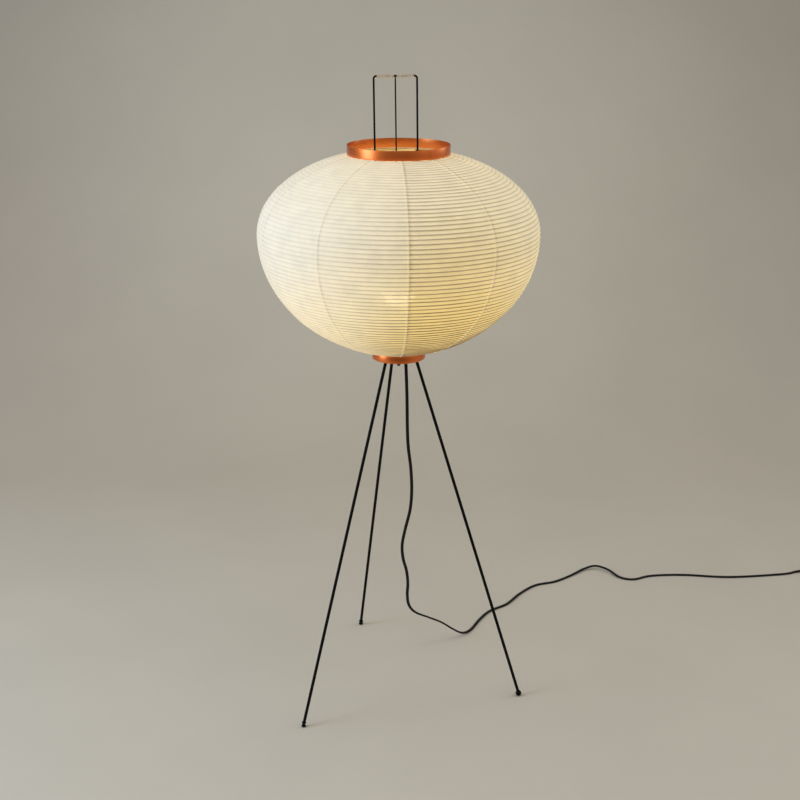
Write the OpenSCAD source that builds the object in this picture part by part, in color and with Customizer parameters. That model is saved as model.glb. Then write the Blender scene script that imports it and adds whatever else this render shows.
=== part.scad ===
// Paper lantern on a wire tripod. Millimetres, +Z up, origin on the floor under the lamp's axis.
// +X is to the right and +Y to the back, seen from the front.

/* [Shade] */
// Radius of the paper at its widest hoop
shade_r = 264.5; // [250:0.5:280]
// Height of the widest hoop above the floor
shade_mid_z = 938; // [930:1:950]
// Rise of the upper half of the oval above the widest hoop
shade_up_h = 156.4; // [150:0.1:165]
// Drop of the lower half of the oval below the widest hoop
shade_down_h = 228.5; // [222:0.5:236]
// Fullness of the upper half, where 2 is an ellipse
shade_up_n = 2.06; // [1.9:0.01:2.2]
// Fullness of the lower half, where 2 is an ellipse
shade_down_n = 1.97; // [1.9:0.01:2.2]
// Thickness of the paper with its glue
paper_t = 0.6; // [0.4:0.1:1]
// Number of paper gores round the shade
gore_count = 10; // [8:1:12]
// Bearing of the first seam, from +X towards +Y, in degrees
seam_turn = -86; // [-90:1:-60]
// Number of bamboo hoops from the top ring to the bottom ring
hoop_count = 72; // [50:1:80]
// Width of a split bamboo hoop, up and down
hoop_w = 1.6; // [1:0.1:2]
// Thickness of a split bamboo hoop, in and out
hoop_t = 1.1; // [0.8:0.1:1.6]

/* [Rings] */
// Outer radius of the copper top ring
top_ring_r = 95.5; // [85:0.5:105]
// Height of the top ring
top_ring_h = 18; // [12:0.5:24]
// Outer radius of the copper bottom ring
low_ring_r = 51; // [50:0.5:56]
// Height of the bottom ring
low_ring_h = 16.2; // [15:0.1:18]
// Wall of both rings
ring_wall = 1.2; // [1:0.1:1.5]
// Height of the seat in the bottom ring above the ring's lower edge
seat_up = 10; // [9:0.5:11]

/* [Legs] */
// Radius of a leg wire
leg_r = 3; // [2.4:0.1:3.2]
// Distance of a leg's axis from the lamp's axis at the lower edge of the bottom ring
leg_top_r = 33.7; // [32:0.1:35]
// Bearing of each leg: right, rear, left
leg_turn = [-15, 109, 225];
// Distance of each foot from the lamp's axis: right, rear, left
foot_out = [252, 262, 262];
// Radius of a ball foot
foot_r = 6; // [5:0.1:8]
// Radius of the flat under a ball foot
foot_flat_r = 1.9; // [1.5:0.1:2.5]

/* [Hub] */
// Radius of the hub plate
hub_r = 47.5; // [47:0.1:49]
// Thickness of the hub plate
hub_t = 4; // [3:0.5:5]
// Radius of a leg socket in the hub
socket_r = 5.5; // [5:0.1:6]
// Height of a leg socket, along the leg
socket_h = 22; // [18:0.5:24]
// Radius of the collar that holds a bail post
collar_r = 3.4; // [3:0.1:3.8]
// Height of a post collar above the hub plate
collar_h = 9; // [6:0.5:12]

/* [Bails] */
// Radius of the main bail's wire
bail_r = 1.8; // [1.5:0.1:2]
// Distance between the main bail's posts, axis to axis
bail_w = 78.6; // [76:0.2:80]
// Height of the main bail's bar above the floor, at its axis
bail_z = 1225.6; // [1200:0.2:1260]
// Radius of a bail's corner, at the wire's axis
corner_r = 5; // [4:0.5:8]
// Sideways lean of both bails, in degrees
bail_lean = 0.66; // [0:0.01:1]
// Radius of the cross bail's wire
cross_r = 1.2; // [1:0.1:1.4]
// Distance between the cross bail's posts, axis to axis
cross_w = 78; // [76:0.2:80]
// Turns of cane round the bar, half of them on each side of the cross bail
cane_turns = 21; // [13:2:21]
// Thickness of the cane
cane_t = 1.4; // [1:0.1:1.8]
// Width of the cane as a share of the winding's pitch
cane_cover = 0.82; // [0.6:0.01:0.84]
// Radius of a spoke's wire
spoke_r = 1.2; // [1:0.1:1.4]
// Height of the spokes above the top ring's lower edge
spoke_up = 6; // [3:0.5:10]

/* [Lampholder] */
// Radius of the centre stud
stud_r = 2.5; // [2:0.1:3]
// Height of the spacer between the hub and the lampholder
spacer_h = 14; // [13:0.5:18]
// Outer radius of the lampholder
holder_r = 19.5; // [19:0.1:20]
// Wall of the lampholder
holder_wall = 2.2; // [2:0.1:2.5]
// Height of the lampholder's base cup
base_h = 18; // [16:0.5:20]
// Height of the lampholder's sleeve
sleeve_h = 32; // [30:0.5:34]

/* [Bulb] */
// Radius of the bulb's globe
globe_r = 30; // [25:0.5:34]
// Radius of the bulb's screw cap
cap_r = 13.1; // [13:0.05:13.2]
// Length of the bulb's screw cap
cap_h = 25; // [23:0.5:27]
// Length of the bulb over all
bulb_h = 108; // [100:0.5:112]
// Wall of the globe
globe_wall = 0.8; // [0.6:0.1:1.2]

/* [Cord] */
// Width of the flat twin flex
flex_w = 6.4; // [5.6:0.1:6.6]
// Thickness of the flat twin flex
flex_t = 4; // [3.2:0.1:4.2]
// Distance of the cord's exit from the lamp's axis
exit_x = 13; // [12:0.5:15]
// Turns of the coil in one layer
coil_turns = 2; // [2:1:3]
// Outer radius of the coil at the flex's axis
coil_out_r = 40; // [38:0.5:46]

/* [Foot switch] */
// Length of the switch
switch_l = 70; // [66:1:80]
// Width of the switch
switch_w = 34; // [32:1:40]
// Height of the switch's casing
switch_h = 20; // [18:0.5:24]
// Height of the parting line above the floor
switch_part_z = 8; // [7:0.5:10]
// Wall of the casing
switch_wall = 2; // [1.8:0.1:2.4]
// Radius of the foot button
button_r = 11; // [9:0.5:12]
// Height of the button above the casing
button_up = 4.5; // [4:0.5:6]
// Travel of the button
button_travel = 3; // [2:0.5:3.5]

/* [Plug] */
// Width of the plug
plug_w = 35.3; // [34:0.1:36]
// Thickness of the plug
plug_t = 13.7; // [13:0.1:14]
// Length of the plug's body without its pins
plug_l = 36; // [32:0.5:42]
// Radius of a plug pin
pin_r = 2; // [1.9:0.05:2.1]
// Length of a plug pin
pin_l = 19; // [18.5:0.1:19.5]
// Distance between the plug pins
pin_gap = 18.6; // [17.5:0.1:19.2]

/* [Hidden] */
$fn = 64;
// Clearance at a seat where two pieces meet without load
seat_gap = 0.3;
// Radial clearance of a wire in its hole
wire_fit = 0.06;
// Radial clearance of an eyelet that slides on a post
slide_fit = 0.35;
// Overcut, so that no cut ends on a face
eps = 1;
foot_name = ["right", "rear", "left"];

// Shade profile: each half is a superellipse, joined at the widest hoop.
samples = 160;
function rim_turn(r, n) = acos(pow(r / shade_r, n / 2));
function half_point(turn, h, n) = [shade_r * pow(cos(turn), 2 / n), h * pow(sin(turn), 2 / n)];
top_turn = rim_turn(top_ring_r, shade_up_n);
low_turn = rim_turn(low_ring_r, shade_down_n);
upper = [for (i = [samples:-1:0])
    let (p = half_point(top_turn * i / samples, shade_up_h, shade_up_n)) [p.x, shade_mid_z + p.y]];
lower = [for (i = [1:samples])
    let (p = half_point(low_turn * i / samples, shade_down_h, shade_down_n)) [p.x, shade_mid_z - p.y]];
profile = concat(upper, lower);
// Length along the profile up to each sample
function step(i) = norm(profile[min(i + 1, 2 * samples)] - profile[i]);
run = [for (i = 0, s = 0; i < len(profile); s = s + step(i), i = i + 1) s];
run_r = [for (i = [0:len(run) - 1]) [run[i], profile[i].x]];
run_z = [for (i = [0:len(run) - 1]) [run[i], profile[i].y]];
run_end = run[len(run) - 1];
hoop_pitch = run_end / (hoop_count - 1);
ridge = [for (i = [0:hoop_count - 1]) [lookup(i * hoop_pitch, run_r), lookup(i * hoop_pitch, run_z)]];
// Direction across the paper, outwards, at each hoop
function across(i) =
    let (d = ridge[min(i + 1, hoop_count - 1)] - ridge[max(i - 1, 0)]) [-d.y, d.x] / norm(d);
function inside(i, depth) = ridge[i] - across(i) * depth;
top_edge_z = ridge[0].y;
low_edge_z = ridge[hoop_count - 1].y;

top_ring_z = top_edge_z + seat_gap;
low_ring_z = low_edge_z - seat_gap - low_ring_h;
hub_top_z = low_ring_z + seat_up;

// Legs
ball_z = sqrt(pow(foot_r, 2) - pow(foot_flat_r, 2));
foot_bore = 3.6;
function leg_tilt(i) = atan((foot_out[i] - leg_top_r) / (low_ring_z - ball_z));
// Distance along the leg from the ball's centre to a height
function leg_run(i, z) = (z - ball_z) / cos(leg_tilt(i));
socket_low = 1.5;
socket_cap = 2;

// Bails, drawn in a frame that stands on the hub and leans to the left
bail_top = (bail_z - hub_top_z) / cos(bail_lean);
post_low = 2;
cross_gap = 0.1;
cross_top = bail_top - bail_r - cross_gap - cross_r;
// The cane is wound between these distances from the bar's middle
cane_low = cross_r + 0.6;
cane_high = bail_w / 2 - corner_r;
cane_pitch = (cane_high - cane_low) / (cane_turns / 2 + cane_cover);
cane_w = cane_pitch * cane_cover;
spoke_z = top_ring_z + spoke_up;
ring_in = top_ring_r - ring_wall;
eyelet_r = bail_r + slide_fit + spoke_r;
function post_x(side, z) = side * bail_w / 2 / cos(bail_lean) - (z - hub_top_z) * tan(bail_lean);

// Lampholder and bulb
holder_z = hub_top_z + spacer_h;
base_floor = 3;
core_h = 10;
core_sunk = 4;
core_z = holder_z + base_h - core_sunk;
contact_r = 3;
contact_h = 1.7;
contact_gap = 0.1;
cap_z = core_z + core_h + contact_h + contact_gap;
shell_wall = 0.5;
shell_in = cap_r + 0.4;
bead_r = 0.8;
bead_pitch = 3.6;
bead_count = 5;
tip_r = 4.5;
tip_h = 4;
neck_r = cap_r + 0.6;
neck_h = 8;
neck_flare = 0.8;
globe_z = cap_z + bulb_h - globe_r;
shell_h = 23;
nut_r = 4.6;
nut_h = 4;
stud_low_z = low_ring_z - 5.5;
grommet_r = 5;
exit_z = low_ring_z + 0.5;

// Flat flex: its centre line, resting flat on the floor
lay_z = flex_t / 2 + 0.2;
// Place of the switch, and of the flex where it enters the switch
route_y = 525;
switch_x = 1003;
switch_cord_z = 6;
// Length of flex held in each end of the switch
clamp_l = 4;
switch_mid_x = switch_x + switch_l / 2;
switch_end_x = switch_x + switch_l;
// Route of the cord from the lamp to the switch
route = [
    [exit_x, 0, exit_z], [14, 0, 680], [16, 2, 620], [17, 6, 550], [19, 10, 508], [24, 18, 462],
    [26, 26, 412], [23, 38, 365], [13, 52, 315], [7, 65, 275], [9, 76, 240], [16, 86, 208],
    [19, 96, 174], [18, 106, 141], [22, 117, 112], [36, 128, 90], [66, 145, 69], [93, 162, 49],
    [118, 176, 26], [140, 192, 8], [160, 218, lay_z], [184, 270, lay_z], [210, 312, lay_z],
    [250, 346, lay_z], [286, 402, lay_z], [326, 446, lay_z], [374, 466, lay_z], [416, 500, lay_z],
    [452, 532, 5], [482, 543, 8], [510, 526, 6], [534, 490, 2.6], [566, 479, lay_z],
    [612, 499, lay_z], [690, 504, lay_z], [800, 492, lay_z], [930, 508, lay_z], [968, 521, 3],
    [switch_x - flex_w, route_y, switch_cord_z],
    [switch_x + clamp_l, route_y, switch_cord_z]];
steps_per_point = 2;

// Coil beyond the switch, then the plug
coil_pitch = flex_w + 0.6;
layer_h = flex_t + 0.6;
switch_to_coil = 62;
coil_to_plug = 22;
// Level stretch before the coil, and after it
lead_l = 30;
coil_x = switch_end_x + switch_to_coil;
coil_y = route_y - coil_out_r;
plug_x = coil_x + coil_out_r + coil_to_plug;
plug_z = plug_t / 2;

// ---- Helpers ----

function unit(v) = v / norm(v);

// Smooth curve through points, with the same number of steps between each two
function smooth(p, steps) = concat(
    [for (i = [0:len(p) - 2], k = [0:steps - 1])
        let (t = k / steps, a = i > 0 ? p[i - 1] : 2 * p[0] - p[1], b = p[i], c = p[i + 1],
             d = i < len(p) - 2 ? p[i + 2] : 2 * c - b)
        b + t / 2 * ((c - a) + t * ((2 * a - 5 * b + 4 * c - d) + t * (3 * b - a - 3 * c + d)))],
    [p[len(p) - 1]]);

// Direction along a path at each point, from its two neighbours
function along(p) = [for (i = [0:len(p) - 1]) unit(p[min(i + 1, len(p) - 1)] - p[max(i - 1, 0)])];

// A flat flex turns its wide side to the floor as it leaves the vertical
lie_flat = 0.5;
function next_side(s, t) =
    let (f = cross([0, 0, 1], t), q = s - (s * t) * t) unit(q + f * (f * s < 0 ? -lie_flat : lie_flat));
function sides(t, s0) =
    [for (i = 0, s = s0; i < len(t); s = next_side(s, t[min(i + 1, len(t) - 1)]), i = i + 1) s];

// Points of an oval with n corners, as wide and as thick as stated
function oval(n, w, t) = [for (k = [0:n - 1]) let (a = 360 * (k + 0.5) / n)
    [w / 2 * cos(a) / cos(180 / n), t / 2 * sin(a) / (n % 4 == 0 ? cos(180 / n) : 1)]];

// Rings of a tube along path p, with its width along s
function rings(p, t, s, section) =
    [for (i = [0:len(p) - 1]) [for (q = section) p[i] + q.x * s[i] + q.y * cross(t[i], s[i])]];

// Least distance between the corners of rings that lie at least apart rings from each other
function least_gap(r, apart, near) = min(
    [for (i = [0:len(r) - 1], j = [i + apart:1:len(r) - 1]) if (norm(r[i][0] - r[j][0]) < near)
        for (a = r[i], b = r[j]) norm(a - b)]);

// Tube through rings r, closed at both ends
module flex_tube(r) {
    n = len(r[0]);
    m = len(r);
    walls = [for (i = [0:m - 2], k = [0:n - 1], half = [0, 1])
        let (a = i * n + k, b = i * n + (k + 1) % n)
        half == 0 ? [a, b + n, b] : [a, a + n, b + n]];
    ends = [for (k = [1:n - 2], end = [0, 1])
        let (o = (m - 1) * n) end == 0 ? [0, k, k + 1] : [o, o + k + 1, o + k]];
    polyhedron([for (ring = r, q = ring) q], concat(walls, ends));
}

module ring_of(r_out, wall, h) {
    difference() {
        cylinder(r = r_out, h = h);
        translate([0, 0, -eps]) cylinder(r = r_out - wall, h = h + 2 * eps);
    }
}

// Frame of leg i: Z runs up the leg from the centre of its ball foot
module on_leg(i) {
    rotate([0, 0, leg_turn[i]]) translate([foot_out[i], 0, ball_z]) rotate([0, -leg_tilt(i), 0]) children();
}

// Frame of the bails: it stands on the hub plate and leans to the left
module on_hub() {
    translate([0, 0, hub_top_z]) rotate([0, -bail_lean, 0]) children();
}

// ---- Shade ----

module paper_gore(i) {
    last = hoop_count - 1;
    section = concat(ridge, [for (k = [last:-1:0]) inside(k, paper_t)]);
    color([0.94, 0.91, 0.82])
        rotate([0, 0, seam_turn + i * 360 / gore_count])
            rotate_extrude(angle = 360 / gore_count) polygon(section);
}

module bamboo_hoops() {
    depth = paper_t + seat_gap / 2 + hoop_t / 2;
    color([0.72, 0.6, 0.4])
        for (i = [0:hoop_count - 1]) {
            c = inside(i, depth);
            turn = atan2(across(i).y, across(i).x);
            rotate_extrude() translate(c) rotate(turn) square([hoop_t, hoop_w], center = true);
        }
}

module top_ring() {
    color([0.8, 0.42, 0.2]) translate([0, 0, top_ring_z]) ring_of(top_ring_r, ring_wall, top_ring_h);
}

// A collar with an inner lip, which rests on the hub plate
module bottom_ring() {
    lip_in = hub_r - 3;
    lip_out = low_ring_r - ring_wall / 2;
    color([0.8, 0.42, 0.2]) {
        translate([0, 0, low_ring_z]) ring_of(low_ring_r, ring_wall, low_ring_h);
        translate([0, 0, hub_top_z]) ring_of(lip_out, lip_out - lip_in, ring_wall);
    }
}

// A wire from the top ring's wall to an eyelet that slides on a post of the main bail
module spoke(side) {
    x = post_x(side, spoke_z);
    reach = ring_in - wire_fit - abs(x) - eyelet_r;
    color([0.05, 0.05, 0.05]) {
        translate([x, 0, spoke_z]) rotate([0, -bail_lean, 0])
            rotate_extrude() translate([eyelet_r, 0]) circle(spoke_r);
        translate([x + side * eyelet_r, 0, spoke_z]) rotate([0, side * 90, 0])
            cylinder(r = spoke_r, h = reach);
    }
}

// ---- Tripod ----

module leg(i) {
    low = -foot_bore;
    high = leg_run(i, low_ring_z + socket_low) + socket_h - socket_cap;
    color([0.05, 0.05, 0.05]) on_leg(i) translate([0, 0, low]) cylinder(r = leg_r, h = high - low);
}

module foot(i) {
    color([0.05, 0.05, 0.05])
        difference() {
            on_leg(i) sphere(foot_r);
            on_leg(i) translate([0, 0, -foot_bore]) cylinder(r = leg_r + wire_fit, h = 2 * foot_r);
            rotate([0, 0, leg_turn[i]]) translate([foot_out[i], 0, -foot_r]) cylinder(r = foot_r, h = foot_r);
        }
}

grub_r = 1.6;
grub_l = 4;
grub_up = 16;

// Place of the grub screw in leg socket i, pointing at the leg from the lamp's axis side
module at_grub(i) {
    on_leg(i) translate([0, 0, leg_run(i, low_ring_z + socket_low) + grub_up]) rotate([0, -90, 0]) children();
}

// A plate with a socket for each leg and a collar for each bail post
module hub() {
    color([0.07, 0.07, 0.07])
        difference() {
            union() {
                translate([0, 0, hub_top_z - hub_t]) cylinder(r = hub_r, h = hub_t);
                for (i = [0:2]) on_leg(i) translate([0, 0, leg_run(i, low_ring_z + socket_low)])
                    cylinder(r = socket_r, h = socket_h);
                on_hub() for (a = [0:90:270]) rotate([0, 0, a])
                    translate([(a % 180 == 0 ? bail_w : cross_w) / 2, 0, -hub_t / 2])
                        cylinder(r = collar_r, h = collar_h + hub_t / 2);
            }
            for (i = [0:2]) {
                on_leg(i) translate([0, 0, leg_run(i, low_ring_z + socket_low) - 2 * eps])
                    cylinder(r = leg_r + wire_fit, h = socket_h - socket_cap + 2 * eps);
                at_grub(i) cylinder(r = grub_r + wire_fit, h = socket_r + eps);
            }
            on_hub() for (a = [0:90:270]) rotate([0, 0, a])
                translate([(a % 180 == 0 ? bail_w : cross_w) / 2, 0, post_low])
                    cylinder(r = (a % 180 == 0 ? bail_r : cross_r) + wire_fit, h = collar_h);
            translate([0, 0, hub_top_z - hub_t - eps]) cylinder(r = stud_r + wire_fit, h = hub_t + 2 * eps);
            translate([exit_x, 0, hub_top_z - hub_t - eps]) cylinder(r = grommet_r, h = hub_t + 2 * eps);
        }
}

module leg_grub_screws() {
    color([0.3, 0.3, 0.3])
        for (i = [0:2]) at_grub(i) translate([0, 0, leg_r + wire_fit])
            difference() {
                cylinder(r = grub_r, h = grub_l);
                translate([0, 0, grub_l - 1.5]) cylinder(r = 0.9, h = 2, $fn = 6);
            }
}

// ---- Bails ----

// Two posts, two bent corners and a bar, along X
module bail(w, top, r) {
    for (side = [-1, 1]) {
        translate([side * w / 2, 0, post_low]) cylinder(r = r, h = top - corner_r - post_low);
        translate([side * (w / 2 - corner_r), 0, top - corner_r]) rotate([90, 0, 0])
            rotate([0, 0, side > 0 ? 0 : 90]) rotate_extrude(angle = 90) translate([corner_r, 0]) circle(r);
    }
    translate([corner_r - w / 2, 0, top]) rotate([0, 90, 0]) cylinder(r = r, h = w - 2 * corner_r);
}

module main_bail() {
    color([0.05, 0.05, 0.05]) on_hub() bail(bail_w, bail_top, bail_r);
}

module cross_bail() {
    color([0.05, 0.05, 0.05]) on_hub() rotate([0, 0, 90]) bail(cross_w, cross_top, cross_r);
}

// Cane wound round each half of the main bar: rings_a_turn rings in each turn, six corners in a ring
rings_a_turn = 8;
cane_fit = 0.1;
cane_mid = bail_r + cane_fit + cane_t / 2;
function cane_at(side, k) = let (a = 360 * k / rings_a_turn)
    [side * (cane_low + cane_w / 2 + cane_pitch * k / rings_a_turn), cane_mid * sin(a), cane_mid * cos(a)];

module cane_half(side) {
    p = [for (k = [0:cane_turns / 2 * rings_a_turn]) cane_at(side, k)];
    t = [for (k = [0:len(p) - 1]) unit(cane_at(side, k + 0.5) - cane_at(side, k - 0.5))];
    s = [for (v = t) unit([1, 0, 0] - v.x * v)];
    r = rings(p, t, s, oval(6, cane_w, cane_t));
    echo("Least gap of the cane to itself, mm", least_gap(r, rings_a_turn - 1, 2 * cane_pitch));
    flex_tube(r);
}

module cane_wrap() {
    color([0.8, 0.7, 0.55]) on_hub() translate([0, 0, bail_top])
        for (side = [-1, 1]) cane_half(side);
}

// ---- Lampholder and bulb ----

module centre_stud() {
    high = holder_z + base_floor + nut_h + 1;
    color([0.08, 0.08, 0.08]) translate([0, 0, stud_low_z]) {
        cylinder(r = stud_r, h = high - stud_low_z);
        sphere(stud_r);
    }
}

// Nuts under the hub plate and on the lampholder's floor
module stud_nut() {
    color([0.3, 0.3, 0.3])
        for (z = [hub_top_z - hub_t - nut_h, holder_z + base_floor]) translate([0, 0, z])
            difference() {
                cylinder(r = nut_r, h = nut_h, $fn = 6);
                translate([0, 0, -eps]) cylinder(r = stud_r + wire_fit, h = nut_h + 2 * eps);
            }
}

module spacer() {
    color([0.1, 0.1, 0.1]) translate([0, 0, hub_top_z])
        difference() {
            cylinder(r = 2 * stud_r, h = spacer_h);
            translate([0, 0, -eps]) cylinder(r = stud_r + wire_fit, h = spacer_h + 2 * eps);
        }
}

module holder_base() {
    color([0.06, 0.06, 0.06]) translate([0, 0, holder_z])
        difference() {
            cylinder(r = holder_r, h = base_h);
            translate([0, 0, base_floor]) cylinder(r = holder_r - holder_wall, h = base_h);
            translate([0, 0, -eps]) cylinder(r = stud_r + wire_fit, h = base_floor + 2 * eps);
            translate([exit_x, 0, -eps]) cylinder(r = flex_w / 2 + seat_gap, h = base_floor + 2 * eps);
        }
}

// A sleeve with a shoulder inside and three grip ribs outside
module holder_sleeve() {
    shoulder = core_z + core_h + seat_gap - holder_z - base_h;
    grip_count = 3;
    grip_w = 2;
    grip_up = 0.8;
    color([0.06, 0.06, 0.06]) translate([0, 0, holder_z + base_h])
        difference() {
            union() {
                cylinder(r = holder_r, h = sleeve_h);
                for (k = [1:grip_count]) translate([0, 0, sleeve_h * k / (grip_count + 1)])
                    cylinder(r = holder_r + grip_up, h = grip_w);
            }
            translate([0, 0, -eps]) cylinder(r = holder_r - holder_wall, h = shoulder + eps);
            translate([0, 0, -eps]) cylinder(r = shell_in + shell_wall + seat_gap, h = sleeve_h + 2 * eps);
        }
}

module holder_core() {
    color([0.92, 0.9, 0.85]) translate([0, 0, core_z])
        cylinder(r = holder_r - holder_wall - seat_gap, h = core_h);
}

module thread_shell() {
    color([0.8, 0.65, 0.3]) translate([0, 0, core_z + core_h])
        ring_of(shell_in + shell_wall, shell_wall, shell_h);
}

module centre_contact() {
    color([0.8, 0.65, 0.3]) translate([0, 0, core_z + core_h]) cylinder(r = contact_r, h = contact_h);
}

// Screw cap with rounded thread turns as closed beads
module bulb_cap() {
    root_r = cap_r - bead_r;
    color([0.8, 0.8, 0.78])
        translate([0, 0, cap_z + tip_h]) difference() {
            union() {
                cylinder(r = root_r, h = cap_h - tip_h);
                for (k = [0:bead_count - 1]) translate([0, 0, (k + 0.5) * bead_pitch])
                    rotate_extrude() translate([root_r, 0]) circle(bead_r);
            }
            translate([0, 0, -eps]) cylinder(r = root_r - bead_r, h = cap_h);
        }
}

module bulb_tip() {
    color([0.1, 0.1, 0.1]) translate([0, 0, cap_z]) {
        cylinder(r = tip_r, h = tip_h / 2);
        translate([0, 0, tip_h / 2]) cylinder(r1 = tip_r, r2 = cap_r - 2 * bead_r, h = tip_h / 2);
    }
}

// A round globe that runs into a neck, as a thin shell
function globe_line(r, wall) = concat(
    [[0, globe_z + r]],
    [for (a = [80:-10:-50]) [r * cos(a), globe_z + r * sin(a)]],
    [[neck_r + neck_flare - wall, cap_z + cap_h + neck_h], [neck_r - wall, cap_z + cap_h]]);

module bulb_globe() {
    outer = globe_line(globe_r, 0);
    inner = globe_line(globe_r - globe_wall, globe_wall);
    color([1, 0.97, 0.9])
        rotate_extrude() polygon(concat(outer, [for (k = [len(inner) - 1:-1:0]) inner[k]]));
}

// ---- Cord ----

module cord_grommet() {
    flange = 1.5;
    color([0.06, 0.06, 0.06]) translate([exit_x, 0, 0])
        difference() {
            union() {
                translate([0, 0, exit_z]) cylinder(r = grommet_r - wire_fit, h = hub_top_z - exit_z);
                translate([0, 0, hub_top_z]) cylinder(r = grommet_r + 1, h = flange);
            }
            translate([0, 0, exit_z - eps]) linear_extrude(hub_top_z - exit_z + 2 * eps + flange)
                flex_outline(wire_fit);
        }
}

module flex_outline(grow) {
    d = flex_t + 2 * grow;
    for (side = [-1, 1]) translate([side * (flex_w - flex_t) / 2, 0]) circle(d = d);
    square([flex_w - flex_t, d], center = true);
}

// The same flex inside the lamp, from the grommet up into the lampholder
module lead_inside() {
    color([0.05, 0.05, 0.05]) translate([exit_x, 0, exit_z])
        linear_extrude(holder_z + base_floor + nut_h - exit_z) flex_outline(0);
}

module cord_run() {
    p = smooth(route, steps_per_point);
    course = along(p);
    t = concat([[0, 0, -1]], [for (i = [1:len(p) - 2]) course[i]], [[1, 0, 0]]);
    color([0.05, 0.05, 0.05]) flex_tube(rings(p, t, sides(t, [1, 0, 0]), oval(8, flex_w, flex_t)));
}

// Coil in two layers: it winds in below, climbs as it turns back, and winds out above
rings_a_loop = 24;
climb = 0.25;
function coil_r(u) = coil_out_r - coil_pitch * (coil_turns - abs(u));
function coil_z(u) = lay_z + layer_h * min(max((u + climb) / (2 * climb), 0), 1);
function coil_at(u) = let (a = 90 - 360 * (u + coil_turns))
    [coil_x + coil_r(u) * cos(a), coil_y + coil_r(u) * sin(a), coil_z(u)];
loop_path = [for (k = [0:2 * coil_turns * rings_a_loop]) coil_at(k / rings_a_loop - coil_turns)];
coil_path = concat(
    [[switch_end_x - clamp_l, route_y, switch_cord_z], [switch_end_x + flex_w, route_y, switch_cord_z],
     [switch_end_x + lead_l, route_y, lay_z + 1]],
    loop_path,
    [[coil_x + lead_l, route_y, lay_z + layer_h], [plug_x - flex_w, route_y, plug_z],
     [plug_x, route_y, plug_z]]);

module cord_coil() {
    t = along(coil_path);
    s = [for (v = t) unit(cross([0, 0, 1], v))];
    r = rings(coil_path, t, s, oval(6, flex_w, flex_t));
    echo("Least gap of the coil to itself, mm", least_gap(r, rings_a_loop / 2, 3 * flex_w));
    color([0.05, 0.05, 0.05]) flex_tube(r);
}

// ---- Foot switch ----

// A block with rounded ends, along X
module long_round(l, w, h) {
    for (x = [w / 2, l - w / 2]) translate([x, 0, 0]) cylinder(d = w, h = h);
    translate([w / 2, -w / 2, 0]) cube([l - w, w, h]);
}

screw_in = 9;
screw_r = 1.5;
screw_sunk = 0.5;
boss_r = 3.2;
module at_switch_screws() {
    for (x = [screw_in, switch_l - screw_in]) translate([switch_x + x, route_y, 0]) children();
}

// A lower shell with a bed and a notch for the flex at each end
module switch_base() {
    bed_l = 2 * switch_wall;
    color([0.07, 0.07, 0.07])
        difference() {
            union() {
                difference() {
                    translate([switch_x, route_y, 0]) long_round(switch_l, switch_w, switch_part_z);
                    translate([switch_x + switch_wall, route_y, switch_wall])
                        long_round(switch_l - 2 * switch_wall, switch_w - 2 * switch_wall, switch_h);
                }
                at_switch_screws() cylinder(r = boss_r, h = switch_part_z);
                for (x = [switch_x + switch_wall / 2, switch_end_x - switch_wall / 2 - bed_l])
                    translate([x, route_y - flex_w, 0]) cube([bed_l, 2 * flex_w, switch_cord_z - flex_t / 2]);
            }
            at_switch_screws() translate([0, 0, switch_wall]) cylinder(r = screw_r + wire_fit, h = switch_h);
            at_switch_screws() translate([0, 0, -eps]) cylinder(r = 2 * screw_r, h = switch_wall + eps);
            for (x = [switch_x - eps, switch_end_x - bed_l])
                translate([x, route_y - flex_w / 2 - wire_fit, switch_cord_z - flex_t / 2])
                    cube([bed_l + eps, flex_w + 2 * wire_fit, switch_h]);
        }
}

module switch_cover() {
    h = switch_h - switch_part_z;
    in_l = switch_l - 2 * switch_wall;
    in_w = switch_w - 2 * switch_wall;
    color([0.07, 0.07, 0.07])
        difference() {
            union() {
                difference() {
                    translate([switch_x, route_y, switch_part_z]) long_round(switch_l, switch_w, h);
                    translate([switch_x + switch_wall, route_y, switch_part_z - eps])
                        long_round(in_l, in_w, h - switch_wall + eps);
                }
                at_switch_screws() translate([0, 0, switch_part_z])
                    cylinder(r = boss_r, h = h - switch_wall / 2);
            }
            translate([switch_mid_x, route_y, switch_part_z]) cylinder(r = button_r + seat_gap, h = switch_h);
            at_switch_screws() translate([0, 0, switch_part_z - eps])
                cylinder(r = screw_r + wire_fit, h = h - switch_wall + eps);
        }
}

skirt_r = button_r + 2;
skirt_h = 2.2;
button_low = switch_h - switch_wall - seat_gap - skirt_h;
block_w = 20;

// Contact block under the button, clamped between the walls of the base
module switch_block() {
    l = 2 * skirt_r;
    color([0.25, 0.25, 0.25]) translate([switch_mid_x - l / 2, route_y - block_w / 2, switch_wall])
        cube([l, block_w, button_low - button_travel - seat_gap - switch_wall]);
}

module switch_button() {
    color([0.1, 0.1, 0.1]) translate([switch_mid_x, route_y, button_low]) {
        cylinder(r = button_r, h = switch_h + button_up - button_low);
        cylinder(r = skirt_r, h = skirt_h);
    }
}

module switch_screws() {
    color([0.6, 0.6, 0.6])
        at_switch_screws() translate([0, 0, screw_sunk]) {
            cylinder(r = 2 * screw_r - seat_gap, h = switch_wall - screw_sunk);
            cylinder(r = screw_r, h = switch_h - 2 * switch_wall - screw_sunk);
        }
}

// ---- Plug ----

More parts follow.
